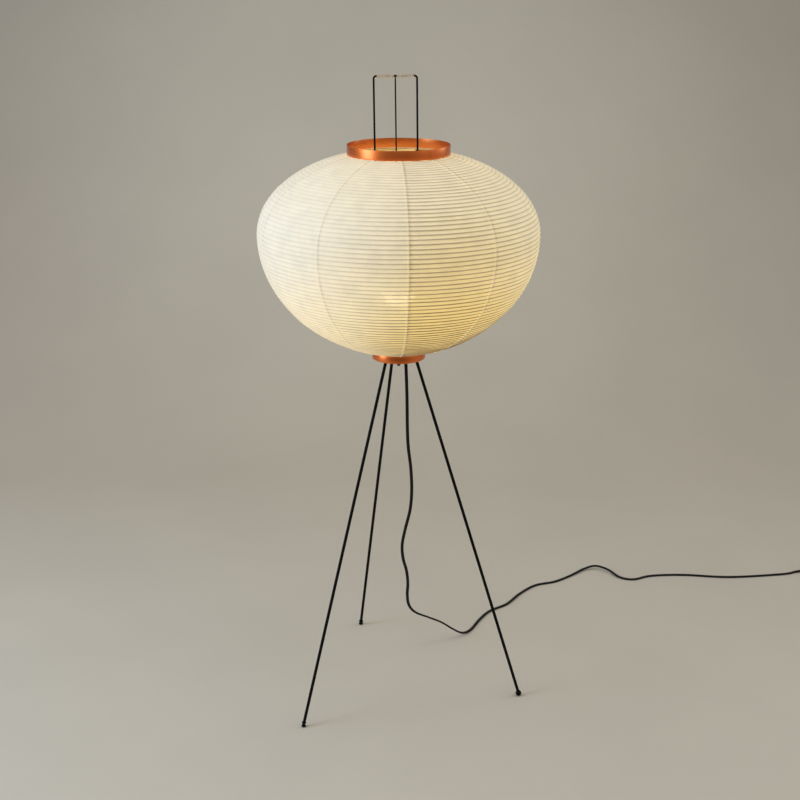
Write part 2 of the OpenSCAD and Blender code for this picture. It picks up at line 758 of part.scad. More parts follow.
// Flat two pin plug: an oval body that narrows towards the flex
module plug_body() {
    guard_l = 10;
    face_l = 12;
    round_r = plug_t / 2;
    guard_r = round_r - 1.5;
    color([0.06, 0.06, 0.06]) translate([plug_x, route_y, plug_z])
        hull() {
            for (y = [-1, 1]) translate([plug_l, y * (plug_w / 2 - round_r), 0]) rotate([0, -90, 0])
                cylinder(r = round_r, h = face_l, $fn = 24);
            rotate([0, 90, 0]) cylinder(r = guard_r, h = guard_l, $fn = 24);
        }
}

module plug_pins() {
    color([0.75, 0.75, 0.7])
        for (y = [-1, 1]) translate([plug_x + plug_l, route_y + y * pin_gap / 2, plug_z])
            rotate([0, 90, 0]) cylinder(r = pin_r, h = pin_l);
}

// ---- Assembly ----

hub();
bottom_ring();
top_ring();
spoke(-1);  // spoke_left
spoke(1);  // spoke_right
for (i = [0:2]) {
    leg(i);
    foot(i);
}
leg_grub_screws();
main_bail();
cross_bail();
cane_wrap();
bamboo_hoops();
for (i = [1:gore_count]) paper_gore(i - 1);
centre_stud();
stud_nut();
spacer();
holder_base();
holder_sleeve();
holder_core();
thread_shell();
centre_contact();
bulb_cap();
bulb_tip();
bulb_globe();
cord_grommet();
lead_inside();
cord_run();
switch_base();
switch_cover();
switch_block();
switch_button();
switch_screws();
cord_coil();
plug_body();
plug_pins();
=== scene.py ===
"""Looks of a paper lantern floor lamp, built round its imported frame.

Metres throughout, +Z up, with the origin on the floor under the lamp's axis. +X is to the right and
+Y to the back, seen from the front. Each sub-assembly is a class that holds its sizes as fields.
"""

import logging
import math
from dataclasses import dataclass
from enum import Enum
from functools import cached_property
from typing import Optional, Sequence

import bmesh
import bpy
import numpy as np
from bpy.types import ID, Material, Mesh, Node, NodeSocket, NodeTree, Object
from mathutils import Matrix, Vector


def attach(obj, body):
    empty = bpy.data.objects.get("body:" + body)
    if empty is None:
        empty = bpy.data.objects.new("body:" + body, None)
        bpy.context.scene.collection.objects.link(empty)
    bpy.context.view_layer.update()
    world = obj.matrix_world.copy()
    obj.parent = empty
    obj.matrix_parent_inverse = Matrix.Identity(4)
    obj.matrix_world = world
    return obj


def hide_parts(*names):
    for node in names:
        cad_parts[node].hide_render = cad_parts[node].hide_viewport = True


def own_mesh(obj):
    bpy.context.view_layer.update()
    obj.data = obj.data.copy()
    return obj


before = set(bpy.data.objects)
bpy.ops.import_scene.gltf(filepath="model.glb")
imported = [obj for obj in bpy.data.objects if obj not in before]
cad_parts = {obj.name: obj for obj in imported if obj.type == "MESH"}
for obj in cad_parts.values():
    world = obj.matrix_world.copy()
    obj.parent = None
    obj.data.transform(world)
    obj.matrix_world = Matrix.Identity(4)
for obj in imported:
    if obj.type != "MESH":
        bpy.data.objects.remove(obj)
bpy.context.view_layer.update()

log = logging.getLogger("lantern")

Point = tuple[float, float, float]
Colour = tuple[float, float, float]

# A point nearer to the axis than this lies on it, and two corners nearer than this are one.
ON_AXIS = 1e-9
SAME_PLACE = 2e-6
# Turns between two faces, in degrees: none worth an edge, a corner to round off, a sharp edge.
FLAT_TURN, CORNER_TURN, SHARP_TURN = 0.5, 40, 35
# Length of a wire's rounded end and width of its tip, as shares of its radius.
WIRE_NOSE, WIRE_TIP = 0.3, 0.75


class Body(str, Enum):
    """Moving bodies of the lamp."""

    STAND = "root"
    TOP = "shade_top"
    BULB = "bulb"
    BUTTON = "button"


class Slot(str, Enum):
    """Material slots of the record."""

    COPPER = "copper"
    WIRE = "black_wire"
    ZINC = "zinc_steel"
    DARK_STEEL = "dark_steel"
    CANE = "cane"
    BAMBOO = "bamboo"
    PAPER = "paper"
    PLASTIC = "black_plastic"
    PORCELAIN = "porcelain"
    BRASS = "brass"
    NICKEL = "nickel"
    TIP = "black_glass"
    OPAL = "opal_glass"
    FLEX = "black_flex"


# ---- Meshes ----


def linked(name: str, data: ID) -> Object:
    """Make an object of its data and link it to the scene."""
    made = bpy.data.objects.new(name, data)
    bpy.context.scene.collection.objects.link(made)
    return made


def smoothed(mesh: Mesh, sharp: float) -> None:
    """Shade a mesh smooth, but for edges that turn by more than so many degrees."""
    mesh.polygons.foreach_set("use_smooth", [True] * len(mesh.polygons))
    mesh.set_sharp_from_angle(angle=math.radians(sharp))


def mesh_piece(name: str, points: np.ndarray, faces: Sequence[Sequence[int]], sharp: float) -> Object:
    """Make an object of a closed mesh, smooth but for its sharp edges.

    Args:
        name: The piece's name.
        points: Corners, one row each.
        faces: Corner numbers of each face.
        sharp: Least angle between faces that stays a sharp edge, in degrees.

    Returns:
        The new object, linked to the scene.
    """
    mesh = bpy.data.meshes.new(name)
    mesh.from_pydata([tuple(map(float, p)) for p in points], [], [tuple(map(int, f)) for f in faces])
    mesh.validate()
    smoothed(mesh, sharp)
    return linked(name, mesh)


def sheet_faces(rows: int, columns: int, close_columns: bool = False) -> list[list[int]]:
    """List the quads of a grid of points stored row by row.

    Args:
        rows: Number of rows.
        columns: Number of points in a row.
        close_columns: Join each row's last point to its first.

    Returns:
        Four corner numbers for each quad.
    """
    here = np.arange(rows - 1)[:, None] * columns
    along = np.arange(columns if close_columns else columns - 1)[None, :]
    below = here + columns
    right = (along + 1) % columns
    quads = np.stack([here + along, below + along, below + right, here + right], axis=-1)
    return quads.reshape(-1, 4).tolist()


def facing_out(piece: Object) -> Object:
    """Recalculate a closed mesh's normals so that they point outwards.

    Args:
        piece: The object to put right.

    Returns:
        The same object.
    """
    work = bmesh.new()
    work.from_mesh(piece.data)
    bmesh.ops.recalc_face_normals(work, faces=work.faces)
    work.to_mesh(piece.data)
    work.free()
    return piece


def add_mesh(mesh: Mesh, other: Mesh) -> None:
    """Add another mesh's faces to a mesh.

    Args:
        mesh: The mesh that grows.
        other: The mesh that is added.
    """
    work = bmesh.new()
    work.from_mesh(mesh)
    work.from_mesh(other)
    work.to_mesh(mesh)
    work.free()


def turned(name: str, outline: Sequence[tuple[float, float]], place: Matrix = Matrix(),
           steps: int = 64) -> Object:
    """Turn an outline round the Z axis.

    Args:
        name: The piece's name.
        outline: Radius and height of each point. It is closed, or starts and ends on the axis.
        place: Where the turned piece goes.
        steps: Number of steps round.

    Returns:
        The turned piece.
    """
    points: list[Vector] = []
    faces: list[list[int]] = []
    rings: list[list[int]] = []
    for radius, height in outline:
        if radius < ON_AXIS:
            rings.append([len(points)] * steps)
            points.append(place @ Vector((0, 0, height)))
            continue
        rings.append(list(range(len(points), len(points) + steps)))
        for k in range(steps):
            turn = math.tau * k / steps
            points.append(place @ Vector((radius * math.cos(turn), radius * math.sin(turn), height)))
    on_axis = outline[0][0] < ON_AXIS and outline[-1][0] < ON_AXIS
    pairs = list(zip(rings, rings[1:])) + ([] if on_axis else [(rings[-1], rings[0])])
    for low, high in pairs:
        for k in range(steps):
            corners = [low[k], low[(k + 1) % steps], high[(k + 1) % steps], high[k]]
            corners = [c for i, c in enumerate(corners) if c != corners[i - 1]]
            if len(corners) > 2:
                faces.append(corners)
    return facing_out(mesh_piece(name, np.array(points), faces, 40))


def frames_along(path: np.ndarray, side: Sequence[float]) -> tuple[np.ndarray, np.ndarray]:
    """Carry a side direction along a path with no twist.

    Args:
        path: Points of the path.
        side: Side direction at its first point.

    Returns:
        The direction of travel and the side direction at each point.
    """
    ahead = np.gradient(path, axis=0)
    ahead /= np.linalg.norm(ahead, axis=1)[:, None]
    sides = np.zeros_like(path)
    current = np.array(side, float)
    for i, way in enumerate(ahead):
        current = current - current.dot(way) * way
        current /= np.linalg.norm(current)
        sides[i] = current
    return ahead, sides


def tube(name: str, rings: np.ndarray, ends: np.ndarray, sharp: float) -> Object:
    """Join rings of points into a tube, and close both ends with a fan.

    Args:
        name: The piece's name.
        rings: Points of each ring.
        ends: Middle of the first ring and of the last.
        sharp: Least angle that stays a sharp edge, in degrees.

    Returns:
        The closed tube.
    """
    count, sides = rings.shape[:2]
    points = np.vstack([rings.reshape(-1, 3), ends])
    faces = sheet_faces(count, sides, close_columns=True)
    first, last, start = len(points) - 2, len(points) - 1, (count - 1) * sides
    for k in range(sides):
        faces.append([first, k, (k + 1) % sides])
        faces.append([last, start + (k + 1) % sides, start + k])
    return facing_out(mesh_piece(name, points, faces, sharp))


def round_section(sides: int) -> np.ndarray:
    """Give so many corners of a circle of radius 1, two coordinates each."""
    turn = np.linspace(0, math.tau, sides, endpoint=False)
    return np.stack([np.cos(turn), np.sin(turn)], axis=1)


def wire(name: str, path: Sequence[Point], radius: float, sides: int = 20) -> Object:
    """Make a round wire with softly rounded ends.

    Args:
        name: The piece's name.
        path: Points along the wire's axis.
        radius: Its radius.
        sides: Number of corners round it.

    Returns:
        The wire.
    """
    line = np.array(path, float)
    ahead, side = frames_along(line, (0, 1, 0.02))
    nose = radius * WIRE_NOSE
    line = np.vstack([line[:1], line[:1] + ahead[:1] * nose, line[1:-1],
                      line[-1:] - ahead[-1:] * nose, line[-1:]])
    ahead = np.vstack([ahead[:1], ahead, ahead[-1:]])
    side = np.vstack([side[:1], side, side[-1:]])
    up = np.cross(ahead, side)
    widths = np.full(len(line), radius)
    widths[[0, -1]] = radius * WIRE_TIP
    circle = round_section(sides)
    spread = circle[None, :, :1] * side[:, None] + circle[None, :, 1:] * up[:, None]
    return tube(name, line[:, None] + widths[:, None, None] * spread, line[[0, -1]], 50)


def eased(node: str, name: str, radius: float, steps: int = 2) -> Object:
    """Copy a CAD node with its corners rounded off.

    Args:
        node: The CAD node.
        name: The new piece's name.
        radius: Radius of the rounded corners.
        steps: Number of steps round a corner.

    Returns:
        The new piece.
    """
    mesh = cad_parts[node].data.copy()
    mesh.name = name
    mesh.materials.clear()
    work = bmesh.new()
    work.from_mesh(mesh)
    bmesh.ops.remove_doubles(work, verts=work.verts, dist=SAME_PLACE)
    bmesh.ops.dissolve_limit(work, angle_limit=math.radians(FLAT_TURN), verts=work.verts, edges=work.edges)
    corner = math.radians(CORNER_TURN)
    corners = [e for e in work.edges if len(e.link_faces) == 2 and e.calc_face_angle(0) > corner]
    bmesh.ops.bevel(work, geom=corners, offset=radius, segments=steps, profile=0.5, affect="EDGES",
                    clamp_overlap=True)
    bmesh.ops.triangulate(work, faces=[f for f in work.faces if len(f.verts) > 4])
    work.to_mesh(mesh)
    work.free()
    smoothed(mesh, SHARP_TURN)
    return linked(name, mesh)


def smooth_path(points: Sequence[Point], steps: int = 8) -> np.ndarray:
    """Draw the smooth curve that passes through points.

    Args:
        points: Points to pass through.
        steps: Number of steps between each two.

    Returns:
        The points of the curve.
    """
    given = np.array(points, float)
    before = np.vstack([2 * given[0] - given[1], given[:-2]])
    here, after = given[:-1], given[1:]
    beyond = np.vstack([given[2:], 2 * given[-1] - given[-2]])
    t = (np.arange(steps) / steps)[None, :, None]
    a, b, c, d = (side[:, None, :] for side in (before, here, after, beyond))
    curve = b + t / 2 * ((c - a) + t * ((2 * a - 5 * b + 4 * c - d) + t * (3 * b - a - 3 * c + d)))
    return np.vstack([curve.reshape(-1, 3), given[-1:]])


def gentle(share: np.ndarray) -> np.ndarray:
    """Ease a share of 0 to 1 in and out."""
    return share * share * (3 - 2 * share)


def add_values(piece: Object, name: str, kind: str, values: np.ndarray) -> None:
    """Store one value or vector at each corner of a piece, for its material to read.

    Args:
        piece: The object.
        name: The attribute's name.
        kind: FLOAT or FLOAT_VECTOR.
        values: One row for each corner.
    """
    attribute = piece.data.attributes.new(name, kind, "POINT")
    attribute.data.foreach_set("vector" if kind == "FLOAT_VECTOR" else "value",
                               np.asarray(values, np.float32).reshape(-1))


# ---- Node trees ----


class Tree:
    """A node tree under construction, of a material, the world, a shader group or a geometry group."""

    def __init__(self, tree: NodeTree) -> None:
        """Start with an existing tree."""
        self.tree = tree

    def fill(self, target: NodeSocket, value: object) -> None:
        """Set a socket's value, or link it to the socket that gives the value.

        Args:
            target: The socket to fill.
            value: Its value, or the socket that gives it.
        """
        if isinstance(value, NodeSocket):
            self.tree.links.new(value, target)
        else:
            target.default_value = value

    def add(self, kind: str, inputs: Optional[dict] = None, **options: object) -> Node:
        """Add a node.

        Args:
            kind: The node's type.
            inputs: Value or socket for each input, by name or number.
            options: Properties of the node.

        Returns:
            The new node.
        """
        node = self.tree.nodes.new(kind)
        for name, value in options.items():
            setattr(node, name, value)
        for name, value in (inputs or {}).items():
            self.fill(node.inputs[name], value)
        return node

    def math(self, operation: str, *values: object) -> NodeSocket:
        """Add a Math node and return its result."""
        return self.add("ShaderNodeMath", dict(enumerate(values)), operation=operation).outputs[0]

    def span(self, value: object, low: float, high: float, to_low: float = 0.0, to_high: float = 1.0,
             kind: str = "SMOOTHSTEP") -> NodeSocket:
        """Map a value from one range to another.

        Args:
            value: The value or socket.
            low: Start of the range.
            high: End of the range.
            to_low: Result at the start.
            to_high: Result at the end.
            kind: LINEAR or SMOOTHSTEP.

        Returns:
            The result's socket.
        """
        node = self.add("ShaderNodeMapRange", {0: value, 1: low, 2: high, 3: to_low, 4: to_high},
                        interpolation_type=kind)
        return node.outputs[0]

    def blend(self, amount: object, first: object, second: object, how: str = "MIX") -> NodeSocket:
        """Mix two colours.

        Args:
            amount: Share of the second colour.
            first: First colour.
            second: Second colour.
            how: Way of mixing.

        Returns:
            The mixed colour's socket.
        """
        node = self.add("ShaderNodeMix", data_type="RGBA", blend_type=how, clamp_factor=True)
        for number, value in ((0, amount), (6, first), (7, second)):
            self.fill(node.inputs[number], (*value, 1.0) if isinstance(value, tuple) else value)
        return node.outputs[2]

    def noise(self, where: NodeSocket, scale: object, detail: float, distortion: float = 0.0) -> NodeSocket:
        """Add a noise pattern and return its value."""
        node = self.add("ShaderNodeTexNoise", {"Vector": where, "Scale": scale, "Detail": detail,
                                               "Distortion": distortion})
        return node.outputs[0]

    def object_place(self, stretch: Point = (1, 1, 1)) -> NodeSocket:
        """Give Object coordinates.

        Args:
            stretch: Factor along each axis.

        Returns:
            The coordinates' socket.
        """
        where = self.add("ShaderNodeTexCoord").outputs["Object"]
        if stretch == (1, 1, 1):
            return where
        return self.add("ShaderNodeMapping", {"Vector": where, "Scale": stretch}).outputs[0]

    def split(self, vector: NodeSocket) -> Sequence[NodeSocket]:
        """Split a vector into its three numbers."""
        return self.add("ShaderNodeSeparateXYZ", {0: vector}).outputs

    def stored(self, name: str, output: str = "Fac") -> NodeSocket:
        """Read what is stored on the piece under a name."""
        return self.add("ShaderNodeAttribute", attribute_name=name).outputs[output]

    def distance(self, where: NodeSocket, place: Point) -> NodeSocket:
        """Measure how far coordinates are from a place."""
        node = self.add("ShaderNodeVectorMath", {0: where, 1: place}, operation="DISTANCE")
        return node.outputs["Value"]

    def effect(self, group: NodeTree, **inputs: float) -> Sequence[NodeSocket]:
        """Place a shared shader group and give its outputs."""
        named = {name.capitalize().replace("_", " "): value for name, value in inputs.items()}
        return self.add("ShaderNodeGroup", named, node_tree=group).outputs

    def bump(self, height: NodeSocket, strength: float, depth: float) -> NodeSocket:
        """Turn a height into a normal."""
        return self.add("ShaderNodeBump", {"Height": height, "Strength": strength,
                                           "Distance": depth}).outputs[0]

    def principled(self, **inputs: object) -> NodeSocket:
        """Add a Principled shader. An underscore in an input's name stands for a space."""
        node = self.add("ShaderNodeBsdfPrincipled")
        sockets = {socket.name.lower().replace(" ", "_"): socket for socket in node.inputs}
        for name, value in inputs.items():
            self.fill(sockets[name], value)
        return node.outputs[0]

    def cover(self, shader: NodeSocket) -> None:
        """Make a shader the surface of the material."""
        self.add("ShaderNodeOutputMaterial", {"Surface": shader})


def cleared(owner: ID) -> Tree:
    """Start the node tree of a material or the world afresh."""
    owner.use_nodes = True
    owner.node_tree.nodes.clear()
    return Tree(owner.node_tree)


def shader_group(name: str, inputs: dict[str, float], outputs: Sequence[str]) -> tuple[Tree, Node, Node]:
    """Start a shader node group.

    Args:
        name: The group's name.
        inputs: Default of each number that it takes.
        outputs: Name of each number that it gives.

    Returns:
        The tree and its input and output nodes.
    """
    group = bpy.data.node_groups.new(name, "ShaderNodeTree")
    number = "NodeSocketFloat"
    for label, value in inputs.items():
        group.interface.new_socket(label, in_out="INPUT", socket_type=number).default_value = value
    for label in outputs:
        group.interface.new_socket(label, in_out="OUTPUT", socket_type=number)
    tree = Tree(group)
    return tree, tree.add("NodeGroupInput"), tree.add("NodeGroupOutput")


class Effects:
    """Effects that more than one finish uses, each a shader node group that is built once."""

    @cached_property
    def mottle(self) -> NodeTree:
        """Soft cloudy variation, with a fine grain for the bump."""
        tree, given, result = shader_group("mottle", {"Scale": 60.0, "Grain scale": 900.0}, ("Mask", "Grain"))
        where = tree.object_place()
        for scale, name, detail in (("Scale", "Mask", 4.0), ("Grain scale", "Grain", 2.0)):
            noise = tree.noise(where, given.outputs[scale], detail)
            tree.fill(result.inputs[name], tree.span(noise, 0.3, 0.7))
        return tree.tree

    @cached_property
    def brushing(self) -> NodeTree:
        """Fine lines that run round the Z axis, as polishing leaves on a turned band."""
        tree, given, result = shader_group("brushing", {"Lines": 2500.0}, ("Lines", "Cloud"))
        lines = tree.noise(tree.object_place((0.02, 0.02, 1)), given.outputs["Lines"], 3.0)
        cloud = tree.noise(tree.object_place((8, 8, 1)), 6.0, 4.0)
        tree.fill(result.inputs["Lines"], tree.span(lines, 0.3, 0.7))
        tree.fill(result.inputs["Cloud"], tree.span(cloud, 0.35, 0.7))
        return tree.tree

    @cached_property
    def dust(self) -> NodeTree:
        """Thin dust on what faces up."""
        tree, given, result = shader_group("dust", {"Amount": 0.1}, ("Mask",))
        up = tree.split(tree.add("ShaderNodeNewGeometry").outputs["Normal"])[2]
        specks = tree.span(tree.noise(tree.object_place(), 700.0, 2.0), 0.45, 0.75)
        amount = tree.math("MULTIPLY", tree.span(up, 0.2, 1.0), given.outputs["Amount"])
        tree.fill(result.inputs["Mask"], tree.math("MULTIPLY", amount, specks))
        return tree.tree


@dataclass(frozen=True)
class Finish:
    """A finish with one colour, mottled, with grain in its bump and dust on top."""

    name: str
    colour: Colour
    other: Colour
    roughness: float
    metallic: float = 0.0
    scale: float = 60.0
    grain_scale: float = 900.0
    grain: float = 0.05
    coat: float = 0.0
    dust: float = 0.0
    specular: float = 0.5
    dust_tint: Colour = (0.42, 0.40, 0.37)
    grain_depth: float = 0.0004

    def material(self, effects: Effects) -> Material:
        """Build the material.

        Args:
            effects: The shared effects.

        Returns:
            The material.
        """
        made = bpy.data.materials.new(self.name)
        tree = cleared(made)
        mottle = tree.effect(effects.mottle, scale=self.scale, grain_scale=self.grain_scale)
        colour = tree.blend(mottle["Mask"], self.colour, self.other)
        if self.dust:
            colour = tree.blend(tree.effect(effects.dust, amount=self.dust)["Mask"], colour, self.dust_tint)
        rough = tree.span(mottle["Mask"], 0, 1, self.roughness * 0.9, min(1, self.roughness * 1.15))
        tree.cover(tree.principled(
            base_color=colour, roughness=rough, metallic=self.metallic, coat_weight=self.coat,
            coat_roughness=0.2, specular_ior_level=self.specular,
            normal=tree.bump(mottle["Grain"], self.grain, self.grain_depth)))
        return made


@dataclass(frozen=True)
class Copper:
    """Satin copper, brushed round the band and clear lacquered, with shade painted darker on a band's inner
    face.
    """

    colour: Colour = (0.88, 0.205, 0.042)
    tarnish: Colour = (0.76, 0.15, 0.028)
    tarnish_share: float = 0.2
    # Painted shade: the darker colour of a band's inner face.
    painted_inner_shade: Colour = (0.60, 0.175, 0.045)
    roughness: float = 0.34
    line_depth: float = 0.0001

    def material(self, effects: Effects) -> Material:
        """Build the material.

        Args:
            effects: The shared effects.

        Returns:
            The material.
        """
        made = bpy.data.materials.new("brushed_copper")
        tree = cleared(made)
        brushing = tree.effect(effects.brushing)
        tarnish = tree.math("MULTIPLY", brushing["Cloud"], self.tarnish_share)
        colour = tree.blend(tarnish, self.colour, self.tarnish)
        colour = tree.blend(tree.stored("painted_inner_shade"), colour, self.painted_inner_shade)
        rough = tree.span(brushing["Lines"], 0, 1, self.roughness * 0.92, self.roughness * 1.1)
        tree.cover(tree.principled(
            base_color=colour, roughness=rough, metallic=1.0, coat_weight=0.4, coat_roughness=0.2,
            normal=tree.bump(brushing["Lines"], 0.04, self.line_depth)))
        return made


@dataclass(frozen=True)
class LanternPaper:
    """Ivory mulberry paper with a painted glow for the light from inside: ribs, laps and fibres show darker
    against the glow.
    """

    ivory: Colour = (0.84, 0.85, 0.83)
    # Painted light: the base colour turns warmer where the rib marks are deepest, standing in for the glow
    # where the window's light is weak.
    painted_glow_tint: Colour = (0.84, 0.75, 0.50)
    painted_glow_share: float = 0.8
    painted_glow_marks: tuple[float, float] = (0.55, 1.4)
    # Rib lines are partly the bamboo seen through the paper and partly painted shade below each ridge; the
    # fibres take the same tint as their own colour.
    rib_shade_and_fibre_tint: Colour = (0.44, 0.28, 0.07)
    rib_shade_share: float = 0.58
    fibre_share: float = 0.10
    lap_tint: Colour = (0.94, 0.925, 0.86)
    lap_share: float = 0.6
    # Painted shade: dark brown in the small tuck where a rib crosses a seam.
    tuck_shade: Colour = (0.27, 0.19, 0.08)
    tuck_shade_share: float = 0.85
    # Painted glow: the paper's emission stands in for the bulb's light coming through it, and is dimmed at
    # each rib as the hoop's painted shadow.
    glow: Colour = (0.36, 0.25, 0.055)
    rib_glow: Colour = (0.08, 0.03, 0.0)
    inside_glow: Colour = (0.95, 0.80, 0.46)
    glow_place: Point = (0.02, -0.035, 0.815)
    glow_reach: tuple[float, float] = (0.18, 0.33)
    near_light: float = 1.24
    far_light: float = 0.60
    see_through: float = 0.15
    clear_tint: tuple[float, ...] = (1.0, 0.94, 0.82, 1.0)
    pulp_depth: float = 0.0002

    def material(self) -> Material:
        """Build the material.

        Returns:
            The material.
        """
        made = bpy.data.materials.new("lantern_paper")
        tree = cleared(made)
        where = tree.object_place()
        place = tree.split(tree.stored("rib_place", "Vector"))
        mark = tree.split(tree.stored("rib_mark", "Vector"))
        lap, tuck = place[2], tree.stored("tuck")
        rib = self.painted_rib_lines(tree, place, mark)
        fibre_line = tree.math("ABSOLUTE", tree.math("SUBTRACT", tree.noise(where, 95.0, 3.0, 1.4), 0.5))
        fibre = tree.span(fibre_line, 0.0, 0.012, 1.0, 0.0)
        cloud = tree.span(tree.noise(where, 38.0, 4.0), 0.3, 0.7)
        colour = tree.blend(cloud, self.ivory, tuple(0.95 * c for c in self.ivory))
        # Tints over the base colour: warmer painted glow, rib lines that are partly painted shade, fibres,
        # laps, and painted shade in the tucks.
        for mask, share, tint in (
                (tree.span(mark[0], *self.painted_glow_marks), self.painted_glow_share, self.painted_glow_tint),
                (rib, self.rib_shade_share, self.rib_shade_and_fibre_tint), (fibre, self.fibre_share, self.rib_shade_and_fibre_tint),
                (lap, self.lap_share, self.lap_tint), (tuck, self.tuck_shade_share, self.tuck_shade)):
            colour = tree.blend(tree.math("MULTIPLY", mask, share), colour, tint)
        # The painted glow is brightest round a point a little to the front right of the bulb and fainter
        # further off.
        light = tree.span(tree.distance(where, self.glow_place), *self.glow_reach, self.near_light,
                          self.far_light)
        for mask, without, fully in (
                (lap, 1.0, 0.9), (tuck, 1.0, 0.3), (cloud, 1.05, 0.93), (fibre, 1.0, 0.9)):
            light = tree.math("MULTIPLY", light, tree.span(mask, 0, 1, without, fully, "LINEAR"))
        height = tree.math("ADD", tree.math("MULTIPLY", fibre, 0.5), tree.noise(where, 1400.0, 3.0))
        surface = tree.principled(
            base_color=colour, roughness=0.85, specular_ior_level=0.25, sheen_weight=0.2, sheen_roughness=0.5,
            emission_color=self.lit(tree, rib, mark[2], light), emission_strength=1.0,
            normal=tree.bump(height, 0.25, self.pulp_depth))
        clear = tree.add("ShaderNodeBsdfTransparent", {"Color": self.clear_tint}).outputs[0]
        tree.cover(tree.add("ShaderNodeMixShader", {0: self.see_through, 1: surface, 2: clear}).outputs[0])
        return made

    def painted_rib_lines(self, tree: Tree, place: Sequence[NodeSocket], mark: Sequence[NodeSocket]) -> NodeSocket:
        """Draw a soft dark line at each hoop, partly the bamboo seen through the paper and partly painted
        shade below each ridge.

        Args:
            tree: The material's tree.
            place: Bearing, hoop number and lap of the spot.
            mark: How dark and how wide the line is there, and whether the spot is inside.

        Returns:
            The lines' strength.
        """
        drift = tree.math("MULTIPLY_ADD", tree.noise(tree.object_place(), 90.0, 2.0), 0.10, -0.05)
        off = tree.math("PINGPONG", tree.math("ADD", place[1], drift), 0.5)
        return tree.span(off, tree.math("MULTIPLY", mark[1], 0.2), mark[1], mark[0], 0.0)

    def lit(self, tree: Tree, rib: NodeSocket, inside: NodeSocket, light: NodeSocket) -> NodeSocket:
        """Colour the painted glow that the paper sends on, warmer and dimmer at a rib, where it paints the
        hoop's shadow.

        Args:
            tree: The material's tree.
            rib: Strength of the rib lines.
            inside: 1 on the inner face.
            light: Strength of the light.

        Returns:
            The light's colour.
        """
        glow = tree.blend(rib, self.glow, tuple(g * r for g, r in zip(self.glow, self.rib_glow)))
        # Painted glow: the inner face, seen from inside, glows brighter.
        front = tree.math("SUBTRACT", 1.0, tree.add("ShaderNodeNewGeometry").outputs["Backfacing"])
        glow = tree.blend(tree.math("MULTIPLY", inside, front), glow, self.inside_glow)
        return tree.blend(1.0, glow, light, "MULTIPLY")


@dataclass(frozen=True)
class OpalGlass:
    """Opal glass of a bulb that is lit, brightest round its middle."""

    colour: Colour = (0.95, 0.93, 0.88)
    light: Colour = (1.0, 0.92, 0.70)
    strength: float = 13.0
    bright_z: float = 0.814
    bright_half: float = 0.022
    dim_share: float = 0.12

    def material(self) -> Material:
        """Build the material.

        Returns:
            The material.
        """
        made = bpy.data.materials.new("lit_opal_glass")
        tree = cleared(made)
        where = tree.object_place()
        cloud = tree.span(tree.noise(where, 40.0, 2.0), 0.3, 0.7)
        colour = tree.blend(cloud, self.colour, tuple(0.97 * c for c in self.colour))
        off = tree.math("ABSOLUTE", tree.math("SUBTRACT", tree.split(where)[2], self.bright_z))
        dim = tuple(self.dim_share * c for c in self.light)
        light = tree.blend(tree.span(off, 0.0, self.bright_half), self.light, dim)
        tree.cover(tree.principled(
            base_color=colour, roughness=0.25, coat_weight=0.4, coat_roughness=0.1, emission_color=light,
            emission_strength=self.strength))
        return made


@dataclass(frozen=True)
class CaneStrip:
    """Split cane: straw coloured, with long darker streaks and paler blotches."""

    straw: Colour = (0.70, 0.58, 0.45)
    streak: Colour = (0.34, 0.25, 0.18)
    blotch: Colour = (0.78, 0.68, 0.55)
    blotch_share: float = 0.45
    streak_depth: float = 0.0002

    def material(self) -> Material:
        """Build the material.

        Returns:
            The material.
        """
        made = bpy.data.materials.new("split_cane")
        tree = cleared(made)
        streaks = tree.span(tree.noise(tree.object_place((900, 60, 60)), 1.0, 3.0), 0.4, 0.75)
        blotches = tree.span(tree.noise(tree.object_place(), 260.0, 3.0), 0.4, 0.7)
        colour = tree.blend(streaks, self.straw, self.streak)
        colour = tree.blend(tree.math("MULTIPLY", blotches, self.blotch_share), colour, self.blotch)
        tree.cover(tree.principled(
            base_color=colour, roughness=0.42, coat_weight=0.15, coat_roughness=0.3,
            normal=tree.bump(streaks, 0.3, self.streak_depth)))
        return made


